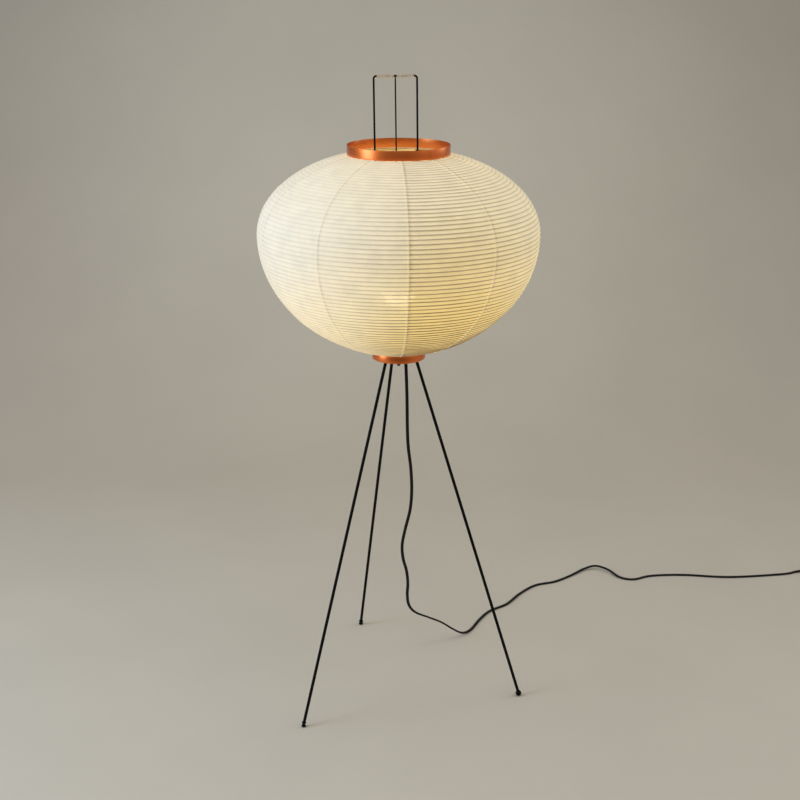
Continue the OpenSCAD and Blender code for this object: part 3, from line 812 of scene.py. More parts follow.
class Finishes:
    """All materials of the lamp, by slot."""

    plain = {
        Slot.WIRE: Finish("black_enamel", (0.002, 0.002, 0.002), (0.004, 0.0038, 0.0035), 0.45, scale=90,
                          grain_scale=1100, grain=0.06, specular=0.08),
        Slot.ZINC: Finish("zinc_plate", (0.55, 0.56, 0.58), (0.42, 0.42, 0.43), 0.36, metallic=1, scale=160,
                          grain_scale=1500, grain=0.1),
        Slot.DARK_STEEL: Finish("blackened_steel", (0.012, 0.011, 0.01), (0.03, 0.027, 0.024), 0.42,
                                metallic=0.4, scale=120, grain_scale=1200, grain=0.08, dust=0.03),
        Slot.BAMBOO: Finish("split_bamboo", (0.50, 0.36, 0.18), (0.38, 0.25, 0.12), 0.6, scale=45,
                            grain_scale=800, grain=0.2),
        Slot.PLASTIC: Finish("moulded_plastic", (0.010, 0.010, 0.010), (0.016, 0.0155, 0.015), 0.45,
                             scale=110, grain_scale=1600, grain=0.14, dust=0.05),
        Slot.PORCELAIN: Finish("porcelain", (0.84, 0.82, 0.77), (0.78, 0.76, 0.70), 0.15, scale=70,
                               grain_scale=500, grain=0.04, coat=0.5),
        Slot.BRASS: Finish("brass", (0.75, 0.52, 0.20), (0.60, 0.40, 0.14), 0.3, metallic=1, scale=150,
                           grain_scale=1400, grain=0.08),
        Slot.NICKEL: Finish("nickel_plate", (0.66, 0.64, 0.60), (0.55, 0.53, 0.49), 0.22, metallic=1,
                            scale=150, grain_scale=1500, grain=0.06),
        Slot.TIP: Finish("black_glass", (0.008, 0.008, 0.009), (0.014, 0.014, 0.015), 0.12, scale=80,
                         grain_scale=700, grain=0.03, coat=0.3),
        Slot.FLEX: Finish("flex_sheath", (0.0035, 0.0032, 0.003), (0.007, 0.0066, 0.006), 0.5, scale=130,
                          grain_scale=1500, grain=0.1, specular=0.2),
    }

    def __init__(self) -> None:
        """Build every material once."""
        effects = Effects()
        self.by_slot = {slot: finish.material(effects) for slot, finish in self.plain.items()}
        self.by_slot[Slot.COPPER] = Copper().material(effects)
        self.by_slot[Slot.PAPER] = LanternPaper().material()
        self.by_slot[Slot.OPAL] = OpalGlass().material()
        self.by_slot[Slot.CANE] = CaneStrip().material()

    def __getitem__(self, slot: Slot) -> Material:
        """Return a slot's material."""
        return self.by_slot[slot]

    def dress(self, piece: Object, body: Body, slot: Slot, *nodes: str) -> Object:
        """Dress a piece, set it on its body and let it stand for its CAD nodes.

        Args:
            piece: The piece.
            body: The body that it rides on.
            slot: The record's slot that it takes its finish from.
            nodes: CAD nodes that it stands for.

        Returns:
            The piece.
        """
        if not piece.data.materials:
            piece.data.materials.append(self[slot])
        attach(piece, body.value)
        if nodes:
            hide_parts(*nodes)
        log.info("%s on %s, %s, %d faces", piece.name, body.value, slot.value, len(piece.data.polygons))
        return piece

    def dress_eased(self, node: str, name: str, slot: Slot, radius: float, steps: int = 2,
                    body: Body = Body.STAND) -> Object:
        """Dress a copy of a CAD node that has its corners rounded off.

        Args:
            node: The CAD node, which the piece stands for.
            name: The piece's name.
            slot: The record's slot that it takes its finish from.
            radius: Radius of the rounded corners.
            steps: Number of steps round a corner.
            body: The body that it rides on.

        Returns:
            The piece.
        """
        return self.dress(eased(node, name, radius, steps), body, slot, node)


# ---- Geometry trees ----


def geometry_group(name: str, inputs: dict[str, tuple[str, float]]) -> tuple[Tree, Node]:
    """Start a Geometry Nodes tree.

    Args:
        name: The tree's name.
        inputs: Kind, Float or Int, and default of each size that it takes.

    Returns:
        The tree and its input node.
    """
    group = bpy.data.node_groups.new(name, "GeometryNodeTree")
    group.interface.new_socket("Geometry", in_out="INPUT", socket_type="NodeSocketGeometry")
    for label, (kind, value) in inputs.items():
        socket = group.interface.new_socket(label, in_out="INPUT", socket_type="NodeSocket" + kind)
        socket.default_value = value
    group.interface.new_socket("Geometry", in_out="OUTPUT", socket_type="NodeSocketGeometry")
    tree = Tree(group)
    return tree, tree.add("NodeGroupInput")


def oval(tree: Tree, corners: object, thickness: NodeSocket, width: NodeSocket) -> NodeSocket:
    """Add an oval section to a tree.

    Args:
        tree: The tree.
        corners: Number of its corners.
        thickness: Its thickness.
        width: Its width.

    Returns:
        The section's socket.
    """
    circle = tree.add("GeometryNodeCurvePrimitiveCircle", {"Resolution": corners, "Radius": 0.5})
    size = tree.add("ShaderNodeCombineXYZ", {0: thickness, 1: width, 2: 1.0})
    squeezed = tree.add("GeometryNodeTransform", {"Geometry": circle.outputs[0], "Scale": size.outputs[0]})
    return squeezed.outputs[0]


def spiral(tree: Tree, given: Node, steps: int) -> NodeSocket:
    """Add a spiral of even width, up the Z axis.

    Args:
        tree: The tree.
        given: Its input node, which gives Turns, Radius and Length.
        steps: Number of steps in a turn.

    Returns:
        The spiral's socket.
    """
    turns, radius, length = (given.outputs[name] for name in ("Turns", "Radius", "Length"))
    return tree.add("GeometryNodeCurveSpiral", {
        "Resolution": steps, "Rotations": turns, "Start Radius": radius, "End Radius": radius,
        "Height": length}).outputs[0]


def end_geometry(tree: Tree, line: NodeSocket, section: NodeSocket, material: Material,
                 fill_caps: bool = True) -> NodeTree:
    """Sweep a section along a line, and end the tree in real, dressed faces.

    Args:
        tree: The tree.
        line: Socket that gives the line.
        section: Socket that gives the section.
        material: The material of the faces.
        fill_caps: Close the ends, which a closed line doesn't have.

    Returns:
        The finished tree.
    """
    swept = tree.add("GeometryNodeCurveToMesh", {0: line, 1: section, "Fill Caps": fill_caps})
    real = tree.add("GeometryNodeRealizeInstances", {0: swept.outputs[0]})
    smooth = tree.add("GeometryNodeSetShadeSmooth", {0: real.outputs[0]})
    dressed = tree.add("GeometryNodeSetMaterial", {0: smooth.outputs[0], "Material": material})
    tree.add("NodeGroupOutput", {0: dressed.outputs[0]})
    return tree.tree


def grown(name: str, group: NodeTree, sizes: dict[str, float],
          points: Sequence[Point] = ((0, 0, 0),)) -> Object:
    """Run a Geometry Nodes tree and keep its result as a plain mesh.

    Args:
        name: The piece's name.
        group: The tree.
        sizes: Value of each named input.
        points: Corners of the mesh that the tree starts from.

    Returns:
        The piece.
    """
    mesh = bpy.data.meshes.new(name)
    mesh.from_pydata([tuple(p) for p in points], [], [])
    piece = linked(name, mesh)
    modifier = piece.modifiers.new("grow", "NODES")
    modifier.node_group = group
    for item in group.interface.items_tree:
        if item.item_type == "SOCKET" and item.in_out == "INPUT" and item.name in sizes:
            modifier[item.identifier] = sizes[item.name]
    bpy.context.view_layer.update()
    shown = piece.evaluated_get(bpy.context.evaluated_depsgraph_get())
    result = bpy.data.meshes.new_from_object(shown)
    result.name = name
    piece.modifiers.clear()
    piece.data = result
    return piece


# ---- Sub-assemblies ----


@dataclass
class Levels:
    """Heights and leans that the sub-assemblies share."""

    shade_r: float = 0.2645
    shade_mid: float = 0.938
    up_h: float = 0.1564
    down_h: float = 0.2285
    up_n: float = 2.06
    down_n: float = 1.97
    top_ring_r: float = 0.0955
    top_ring_h: float = 0.018
    low_ring_r: float = 0.051
    low_ring_h: float = 0.0162
    seat_gap: float = 0.0003
    seat_up: float = 0.010
    lean: float = math.radians(0.66)

    def edge(self, radius: float, height: float, power: float) -> float:
        """Give the height of a half of the shade at a radius, from its widest hoop."""
        return height * (1 - (radius / self.shade_r) ** power) ** (1 / power)

    @property
    def top_edge(self) -> float:
        """Height of the paper's upper edge."""
        return self.shade_mid + self.edge(self.top_ring_r, self.up_h, self.up_n)

    @property
    def low_edge(self) -> float:
        """Height of the paper's lower edge."""
        return self.shade_mid - self.edge(self.low_ring_r, self.down_h, self.down_n)

    @property
    def top_ring_low(self) -> float:
        """Height of the top ring's lower edge."""
        return self.top_edge + self.seat_gap

    @property
    def low_ring_low(self) -> float:
        """Height of the bottom ring's lower edge."""
        return self.low_edge - self.seat_gap - self.low_ring_h

    @property
    def hub_top(self) -> float:
        """Height of the hub plate's upper face."""
        return self.low_ring_low + self.seat_up

    @property
    def on_hub(self) -> Matrix:
        """Frame of the bails: it stands on the hub plate and leans to the left."""
        return Matrix.Translation((0, 0, self.hub_top)) @ Matrix.Rotation(-self.lean, 4, "Y")


@dataclass
class PaperShade:
    """Ten paper gores, lapped at their seams and drawn in between thin bamboo hoops."""

    levels: Levels
    gore_count: int = 10
    first_seam: float = math.radians(-86)
    hoop_count: int = 72
    rows_a_band: int = 6
    columns: int = 34
    paper_t: float = 0.00045
    hoop_t: float = 0.0011
    hoop_w: float = 0.0016
    cad_paper_t: float = 0.0006
    draw_in: float = 0.0012
    lap_w: float = 0.0032
    lap_fall: float = 0.0026
    lap_proud: float = 0.00005
    ragged: float = 0.00035
    tuck_deep: float = 0.0003
    tuck_at: float = 0.0013
    tuck_wide: float = 0.0014
    tuck_reach: float = 0.22
    hoop_wander: float = 0.00028
    calm_hoops: float = 1.5
    profile_steps: int = 400
    seed: int = 11
    folded: float = 0.083
    # How far each gore's paper is drawn in, and how strong its painted rib shade and painted warm glow are,
    # from seam to seam. The low values on the gores facing the window stand in for its light washing out the
    # ribs.
    tightness_and_shade: tuple[float, ...] = (1.15, 1.05, 0.75, 0.7, 0.85, 1.0, 0.8, 0.5, 0.28, 0.32, 0.82)
    # Painted rib shade down the shade: how dark the line is at each hoop, how wide it is and how far below
    # the ridge it sits; on the lower hoops it moves above the ridge.
    mark_hoops: tuple[float, ...] = (0, 20, 36, 52, 60, 66, 72)
    mark_depths: tuple[float, ...] = (0.5, 0.62, 0.9, 1.65, 1.7, 0.9, 0.2)
    mark_half: tuple[float, float] = (0.22, 0.32)
    mark_below: tuple[float, float] = (0.04, -0.07)
    lower_hoops: tuple[float, float] = (34.0, 62.0)

    @cached_property
    def ridge(self) -> np.ndarray:
        """Radius and height of each hoop's ridge, from the top down, at an even pitch."""
        lv = self.levels
        top_turn = math.acos((lv.top_ring_r / lv.shade_r) ** (lv.up_n / 2))
        low_turn = math.acos((lv.low_ring_r / lv.shade_r) ** (lv.down_n / 2))
        up = np.linspace(top_turn, 0, self.profile_steps)
        down = np.linspace(0, low_turn, self.profile_steps)[1:]
        radius = np.r_[np.cos(up) ** (2 / lv.up_n), np.cos(down) ** (2 / lv.down_n)] * lv.shade_r
        height = np.r_[lv.up_h * np.sin(up) ** (2 / lv.up_n), -lv.down_h * np.sin(down) ** (2 / lv.down_n)]
        line = np.stack([radius, lv.shade_mid + height], axis=1)
        run = np.r_[0, np.cumsum(np.linalg.norm(np.diff(line, axis=0), axis=1))]
        stops = np.linspace(0, run[-1], self.hoop_count)
        return np.stack([np.interp(stops, run, line[:, 0]), np.interp(stops, run, line[:, 1])], axis=1)

    @cached_property
    def across(self) -> np.ndarray:
        """Direction across the paper, outwards, at each hoop."""
        way = np.gradient(self.ridge, axis=0)
        way /= np.linalg.norm(way, axis=1)[:, None]
        return np.stack([-way[:, 1], way[:, 0]], axis=1)

    @cached_property
    def waves(self) -> dict[str, np.ndarray]:
        """Seeded waves round each hoop and band, so that the shade looks made by hand."""
        draw = np.random.default_rng(self.seed)
        count = self.hoop_count
        return {
            "turns": np.array([2, 3, 5, 8, 13]),
            "height": draw.normal(0, 1, (count, 5)) * (0.5, 0.45, 0.35, 0.25, 0.15),
            "height_phase": draw.uniform(0, math.tau, (count, 5)),
            "sag": draw.normal(0, 1, (count, 5)) * (0.12, 0.12, 0.14, 0.14, 0.12),
            "sag_phase": draw.uniform(0, math.tau, (count, 5)),
        }

    def wave(self, kind: str, hoop: np.ndarray, turn: np.ndarray) -> np.ndarray:
        """Give the value of a wave at a hoop and bearing.

        Args:
            kind: height or sag.
            hoop: Hoop numbers.
            turn: Bearings in radians.

        Returns:
            The wave's value for each.
        """
        turns = self.waves["turns"]
        angle = turn[..., None] * turns + self.waves[kind + "_phase"][hoop]
        return (self.waves[kind][hoop] * np.sin(angle)).sum(axis=-1)

    def tight_and_shaded(self, turn: np.ndarray) -> np.ndarray:
        """Tell how tightly the paper was drawn in at a bearing, and how strong the painted rib shade and warm
        tint are there; both change from seam to seam.
        """
        seams = (turn - self.first_seam) / math.tau * self.gore_count % self.gore_count
        return np.interp(seams, np.arange(len(self.tightness_and_shade)), self.tightness_and_shade)

    def lower(self, place: np.ndarray) -> np.ndarray:
        """Give the share of the way from the widest hoops, at 0, to the lower ones, at 1."""
        first, last = self.lower_hoops
        return gentle(np.clip((place - first) / (last - first), 0, 1))

    def surface(self, place: np.ndarray, turn: np.ndarray, lift: np.ndarray) -> np.ndarray:
        """Place points on a face of the paper.

        Args:
            place: Hoop number, with its fraction, of each point.
            turn: Bearing of each point.
            lift: Distance of each point outside the hoops' ridge line.

        Returns:
            The points.
        """
        last = self.hoop_count - 1
        upper = np.minimum(place.astype(int), last - 1)
        part = place - upper
        flat = self.ridge[upper] + (self.ridge[upper + 1] - self.ridge[upper]) * part[..., None]
        out = self.across[upper] + (self.across[upper + 1] - self.across[upper]) * part[..., None]
        calm = np.clip(np.minimum(place, last - place) / self.calm_hoops, 0, 1)
        wander = (self.wave("height", upper, turn) * (1 - part)
                  + self.wave("height", upper + 1, turn) * part) * self.hoop_wander * calm
        sag = self.draw_in * (1 + self.wave("sag", upper, turn)) * np.abs(np.sin(np.pi * part ** 0.8)) ** 0.9
        sag = sag * np.minimum(self.tight_and_shaded(turn), 1) * (1 - 0.3 * self.lower(place))
        off = lift - sag
        radius = flat[..., 0] + out[..., 0] * off + 0.4 * wander * out[..., 1]
        height = flat[..., 1] + out[..., 1] * off + wander * out[..., 0]
        return np.stack([radius * np.cos(turn), radius * np.sin(turn), height], axis=-1)

    def gore(self, number: int) -> Object:
        """Make one gore as a closed thin shell. Its left edge laps over its neighbour.

        Args:
            number: Number of the gore, from 0.

        Returns:
            The gore.
        """
        rows = (self.hoop_count - 1) * self.rows_a_band + 1
        place = np.linspace(0, self.hoop_count - 1, rows)
        radius = np.interp(place, np.arange(self.hoop_count), self.ridge[:, 0])
        draw = np.random.default_rng(self.seed + 100 + number)
        ragged = np.interp(place, np.arange(self.hoop_count), draw.normal(0, self.ragged, self.hoop_count))
        near = np.array([0, 0.35, 0.7, 1.0])
        fall = np.array([0.3, 0.65, 1.0])
        width = radius * math.tau / self.gore_count
        arcs = np.concatenate([
            (near[None, :] - 1) * (self.lap_w + ragged)[:, None],
            np.repeat(fall[None, :] * self.lap_fall, rows, axis=0),
            self.lap_fall + (width[:, None] - self.lap_fall) * np.linspace(0, 1, self.columns)[None, 1:],
        ], axis=1)
        seam = self.first_seam + number * math.tau / self.gore_count
        turn = seam + arcs / radius[:, None]
        places = np.repeat(place[:, None], arcs.shape[1], axis=1)
        down = np.clip(arcs / self.lap_fall, 0, 1)
        lift = (self.paper_t + self.lap_proud) * (1 - gentle(down))
        near_hoop = 1 - np.clip(np.abs(places - np.round(places)) / self.tuck_reach, 0, 1)
        tuck = (0.45 + 0.55 * near_hoop) * np.exp(-((arcs - self.tuck_at) / self.tuck_wide) ** 2)
        tuck *= 0.4 + 0.6 * draw.random(self.hoop_count)[np.round(places).astype(int)]
        tuck *= 0.35 + 0.65 * np.minimum(self.tight_and_shaded(turn), 1)
        lift = lift - self.tuck_deep * tuck
        outer = self.surface(places, turn, lift)
        inner = self.surface(places, turn, lift - self.paper_t)
        lapped = np.where(arcs <= 0, 1.0, 1 - down)
        lapped = lapped * (0.35 + 0.65 * np.clip(places / self.lower_hoops[0], 0, 1))
        return self.shell(f"paper_gore_{number + 1}_washi", outer, inner, places, turn, lapped, tuck)

    def shell(self, name: str, outer: np.ndarray, inner: np.ndarray, places: np.ndarray, turn: np.ndarray,
              lapped: np.ndarray, tuck: np.ndarray) -> Object:
        """Close two faces of paper into a thin shell and store what its material reads.

        Args:
            name: The piece's name.
            outer: Points of the outer face.
            inner: Points of the inner face.
            places: Hoop number at each point.
            turn: Bearing of each point.
            lapped: How far each point lies in a lap.
            tuck: How deep a tuck each point lies in.

        Returns:
            The shell.
        """
        rows, columns = places.shape
        count = rows * columns
        points = np.concatenate([outer.reshape(-1, 3), inner.reshape(-1, 3)])
        face = np.array(sheet_faces(rows, columns))
        faces = face.tolist() + (face[:, ::-1] + count).tolist()
        grid = np.arange(count).reshape(rows, columns)
        rim = np.concatenate([grid[0, :], grid[1:, -1], grid[-1, -2::-1], grid[-2:0:-1, 0]])
        ahead = np.roll(rim, -1)
        faces += np.stack([rim, ahead, ahead + count, rim + count], axis=1).tolist()
        piece = mesh_piece(name, points, faces, 60)
        # Where the painted rib shade falls and how dark it is, for the material.
        share = self.lower(places)
        below = self.mark_below[0] + (self.mark_below[1] - self.mark_below[0]) * share
        half = self.mark_half[0] + (self.mark_half[1] - self.mark_half[0]) * share
        values = np.stack([turn / math.tau, places - below, lapped], axis=-1).reshape(-1, 3)
        add_values(piece, "rib_place", "FLOAT_VECTOR", np.concatenate([values, values]))
        depth = self.tight_and_shaded(turn) * np.interp(places, self.mark_hoops, self.mark_depths)
        marks = [np.stack([depth, half, np.full(half.shape, inside)], axis=-1).reshape(-1, 3)
                 for inside in (0.0, 1.0)]
        add_values(piece, "rib_mark", "FLOAT_VECTOR", np.concatenate(marks))
        add_values(piece, "tuck", "FLOAT", np.concatenate([tuck.reshape(-1)] * 2))
        return piece

    def hoops_group(self, material: Material) -> NodeTree:
        """Build the tree that bends a split hoop at each point, as wide as the point is out.

        Args:
            material: The hoops' material.

        Returns:
            The tree.
        """
        tree, given = geometry_group("hoops", {
            "Thickness": ("Float", self.hoop_t), "Width": ("Float", self.hoop_w),
            "Steps round": ("Int", 96), "Corners": ("Int", 8)})
        place = tree.split(tree.add("GeometryNodeInputPosition").outputs[0])
        wide = tree.add("ShaderNodeCombineXYZ", {0: place[0], 1: place[0], 2: 1.0})
        kept = tree.add("GeometryNodeCaptureAttribute", {0: given.outputs["Geometry"]}, domain="POINT")
        kept.capture_items.new("VECTOR", "wide")
        tree.fill(kept.inputs[1], wide.outputs[0])
        centre = tree.add("ShaderNodeCombineXYZ", {2: place[2]}).outputs[0]
        moved = tree.add("GeometryNodeSetPosition", {"Geometry": kept.outputs[0], "Position": centre})
        round_line = tree.add("GeometryNodeCurvePrimitiveCircle", {
            "Resolution": given.outputs["Steps round"], "Radius": 1.0})
        copies = tree.add("GeometryNodeInstanceOnPoints", {
            "Points": moved.outputs[0], "Instance": round_line.outputs[0], "Scale": kept.outputs[1]})
        lines = tree.add("GeometryNodeRealizeInstances", {0: copies.outputs[0]})
        upright = tree.add("GeometryNodeSetCurveNormal", {0: lines.outputs[0]}, mode="Z_UP")
        corners, thickness, width = (given.outputs[name] for name in ("Corners", "Thickness", "Width"))
        section = oval(tree, corners, thickness, width)
        return end_geometry(tree, upright.outputs[0], section, material, fill_caps=False)

    def build(self, finishes: Finishes) -> None:
        """Build the gores and hoops.

        Args:
            finishes: All materials.
        """
        anchor = (0.0, 0.0, self.levels.low_edge)
        depth = self.cad_paper_t + self.levels.seat_gap / 2 + self.hoop_t / 2
        centres = self.ridge - self.across * depth
        hoops = grown("split_bamboo_hoops", self.hoops_group(finishes[Slot.BAMBOO]),
                      {"Thickness": self.hoop_t, "Width": self.hoop_w}, [(r, 0.0, z) for r, z in centres])
        finishes.dress(hoops, Body.STAND, Slot.BAMBOO, "bamboo_hoops")
        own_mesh(hoops)
        for number in range(self.gore_count):
            gore = self.gore(number)
            finishes.dress(gore, Body.STAND, Slot.PAPER, f"paper_gore_{number + 1}")
            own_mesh(gore)


@dataclass
class CopperRings:
    """The top band, which is lapped and soldered, and the collar that the shade stands on."""

    levels: Levels
    wall: float = 0.0012
    edge: float = 0.00035
    joint_turn: float = math.radians(-52)
    joint_lap: float = math.radians(9)
    joint_rise: float = math.radians(7)
    band_steps: int = 200
    edge_samples: int = 5
    inner_share: float = 0.4
    lip_in: float = 0.0445

    def band_section(self) -> np.ndarray:
        """Draw the top band's section, with rounded edges.

        Returns:
            How far out and up each corner is from the band's lower inner edge.
        """
        edge, height = self.edge, self.levels.top_ring_h
        out, up = self.wall - edge, height - edge
        middles = ((out, edge), (out, up), (edge, up), (edge, edge))
        corners = []
        for (x, z), start in zip(middles, (-90, 0, 90, 180)):
            for k in range(self.edge_samples):
                turn = math.radians(start + 90 * k / (self.edge_samples - 1))
                corners.append((x + edge * math.cos(turn), z + edge * math.sin(turn)))
        return np.array(corners)

    def top_band(self) -> Object:
        """Make the top band: one strip of copper, bent round until it laps over its own start.

        Returns:
            The band.
        """
        lv = self.levels
        section = self.band_section()
        turns = np.linspace(0, math.tau + self.joint_lap, self.band_steps)
        over = np.clip((turns - math.tau + self.joint_rise) / self.joint_rise, 0, 1)
        inner = lv.top_ring_r - self.wall + gentle(over) * self.wall
        bearing = self.joint_turn + turns
        radius = inner[:, None] + section[None, :, 0]
        height = np.broadcast_to(lv.top_ring_low + section[None, :, 1], radius.shape)
        across, away = np.cos(bearing)[:, None], np.sin(bearing)[:, None]
        rings = np.stack([radius * across, radius * away, height], axis=-1)
        band = tube("top_band", rings, rings[[0, -1]].mean(axis=1), 50)
        # Mark the inner face, where the copper's painted shade goes.
        painted_inner_shade = np.tile(section[:, 0] < self.inner_share * self.wall, len(turns))
        add_values(band, "painted_inner_shade", "FLOAT", np.r_[painted_inner_shade, False, False])
        return band

    def collar(self) -> Object:
        """Make the bottom collar with its inner lip.

        Returns:
            The collar.
        """
        lv = self.levels
        low, high, seat = lv.low_ring_low, lv.low_ring_low + lv.low_ring_h, lv.hub_top
        out, inner, lip, e = lv.low_ring_r, lv.low_ring_r - self.wall, self.lip_in, self.edge
        over = seat + self.wall
        outline = [(out - e, low), (out - 0.3 * e, low + 0.3 * e), (out, low + e), (out, high - e),
                   (out - 0.3 * e, high - 0.3 * e), (out - e, high), (inner + e, high), (inner, high - e),
                   (inner, over + e), (inner - e, over), (lip + e, over), (lip, over - e), (lip, seat + e),
                   (lip + e, seat), (inner - e, seat), (inner, seat - e), (inner, low + e), (inner + e, low)]
        return turned("bottom_collar", outline, steps=128)

    def build(self, finishes: Finishes) -> None:
        """Build both rings.

        Args:
            finishes: All materials.
        """
        finishes.dress(self.top_band(), Body.TOP, Slot.COPPER, "top_ring")
        finishes.dress(self.collar(), Body.STAND, Slot.COPPER, "bottom_ring")


@dataclass
class Bails:
    """The main bail with its cane wound bar, the thin cross bail and the spokes of the top ring."""

    levels: Levels
    wire_r: float = 0.0018
    width: float = 0.0786
    bar_z: float = 1.2256
    corner_r: float = 0.005
    cross_r: float = 0.0012
    cross_w: float = 0.078
    cross_gap: float = 0.0001
    post_low: float = 0.002
    cane_turns: float = 10.5
    cane_t: float = 0.0014
    cane_fit: float = 0.0001
    cane_cover: float = 0.93
    cane_clear: float = 0.0006
    slide_fit: float = 0.00035
    spoke_r: float = 0.0012
    spoke_up: float = 0.006
    eye_ends: tuple[float, float] = (332.0, 20.0)
    eye_run: float = 0.0022
    ring_wall: float = 0.0012
    ring_fit: float = 0.00006

    @property
    def top(self) -> float:
        """Height of the main bar above the hub plate, along the bail."""
        return (self.bar_z - self.levels.hub_top) / math.cos(self.levels.lean)

    @property
    def cross_top(self) -> float:
        """Height of the cross bar above the hub plate, along the bail."""
        return self.top - self.wire_r - self.cross_gap - self.cross_r

    def bail_path(self, width: float, top: float, turn: float) -> list[Point]:
        """Draw a bail's path: a post, a bent corner, a bar, a corner and a post.

        Args:
            width: Distance between its posts.
            top: Height of its bar.
            turn: Bearing of its bar, in radians.

        Returns:
            Points along the wire.
        """
        half, bend_r = width / 2, self.corner_r
        bends = np.linspace(0, math.pi / 2, 9)[1:]
        path = [(-half, 0.0, z) for z in np.linspace(self.post_low, top - bend_r, 24)]
        path += [(-(half - bend_r + bend_r * math.cos(k)), 0.0, top - bend_r + bend_r * math.sin(k))
                 for k in bends]
        path += [(x, 0.0, top) for x in np.linspace(bend_r - half, half - bend_r, 12)[1:]]
        path += [(half - bend_r + bend_r * math.cos(k), 0.0, top - bend_r + bend_r * math.sin(k))
                 for k in math.pi / 2 - bends]
        path += [(half, 0.0, z) for z in np.linspace(top - bend_r, self.post_low, 24)[1:]]
        place = self.levels.on_hub @ Matrix.Rotation(turn, 4, "Z")
        return [tuple(place @ Vector(p)) for p in path]

    def cane_group(self, material: Material) -> NodeTree:
        """Build the tree that winds a strip of cane round a bar.

        Args:
            material: The cane's material.

        Returns:
            The tree.
        """
        tree, given = geometry_group("cane_winding", {
            "Turns": ("Float", self.cane_turns), "Length": ("Float", 0.06), "Radius": ("Float", 0.002),
            "Strip width": ("Float", 0.002), "Strip thickness": ("Float", self.cane_t)})
        upright = tree.add("GeometryNodeSetCurveNormal", {0: spiral(tree, given, 20)}, mode="Z_UP")
        strip = oval(tree, 10, given.outputs["Strip thickness"], given.outputs["Strip width"])
        return end_geometry(tree, upright.outputs[0], strip, material)

    def cane(self, finishes: Finishes) -> Object:
        """Wind the cane and lay it along both halves of the bar.

        Args:
            finishes: All materials.

        Returns:
            The cane of both halves.
        """
        low, high = self.cross_r + self.cane_clear, self.width / 2 - self.corner_r
        pitch = (high - low) / (self.cane_turns + self.cane_cover)
        strip = pitch * self.cane_cover
        piece = grown("cane_winding", self.cane_group(finishes[Slot.CANE]), {
            "Turns": self.cane_turns, "Length": pitch * self.cane_turns, "Strip width": strip,
            "Radius": self.wire_r + self.cane_fit + self.cane_t / 2, "Strip thickness": self.cane_t})
        along_bar = Matrix.Translation((low + strip / 2, 0, 0)) @ Matrix.Rotation(math.pi / 2, 4, "Y")
        piece.data.transform(along_bar)
        other = piece.data.copy()
        other.transform(Matrix.Scale(-1, 4, (1, 0, 0)))
        add_mesh(piece.data, other)
        bpy.data.meshes.remove(other)
        piece.data.transform(self.levels.on_hub @ Matrix.Translation((0, 0, self.top)))
        return facing_out(piece)

    def spoke(self, side: int) -> Object:
        """Make a spoke: an eyelet round a post, and a straight wire out to the ring.

        Args:
            side: -1 for the left one, 1 for the right one.

        Returns:
            The spoke.
        """
        lv = self.levels
        height = lv.top_ring_low + self.spoke_up
        lean = math.tan(lv.lean)
        x = side * self.width / 2 / math.cos(lv.lean) - (height - lv.hub_top) * lean
        eye = self.wire_r + self.slide_fit + self.spoke_r
        reach = lv.top_ring_r - self.ring_wall - self.ring_fit
        first, last = (math.radians(end) for end in self.eye_ends)
        loop = [(x + side * eye * math.cos(k), eye * math.sin(k), height - side * eye * math.cos(k) * lean)
                for k in np.linspace(first, last, 26)]
        out = [(side * d, 0.0, height) for d in np.linspace(abs(x) + eye + self.eye_run, reach, 8)]
        return wire("spoke_wire_" + ("left" if side < 0 else "right"), loop + out, self.spoke_r, 16)

    def build(self, finishes: Finishes) -> None:
        """Build bails, cane and spokes.

        Args:
            finishes: All materials.
        """
        path = self.bail_path(self.width, self.top, 0.0)
        finishes.dress(wire("main_bail_wire", path, self.wire_r), Body.STAND, Slot.WIRE, "main_bail")
        path = self.bail_path(self.cross_w, self.cross_top, math.pi / 2)
        finishes.dress(wire("cross_bail_wire", path, self.cross_r, 16), Body.STAND, Slot.WIRE, "cross_bail")
        finishes.dress(self.cane(finishes), Body.STAND, Slot.CANE, "cane_wrap")
        finishes.dress(self.spoke(-1), Body.TOP, Slot.WIRE, "spoke_left")
        finishes.dress(self.spoke(1), Body.TOP, Slot.WIRE, "spoke_right")


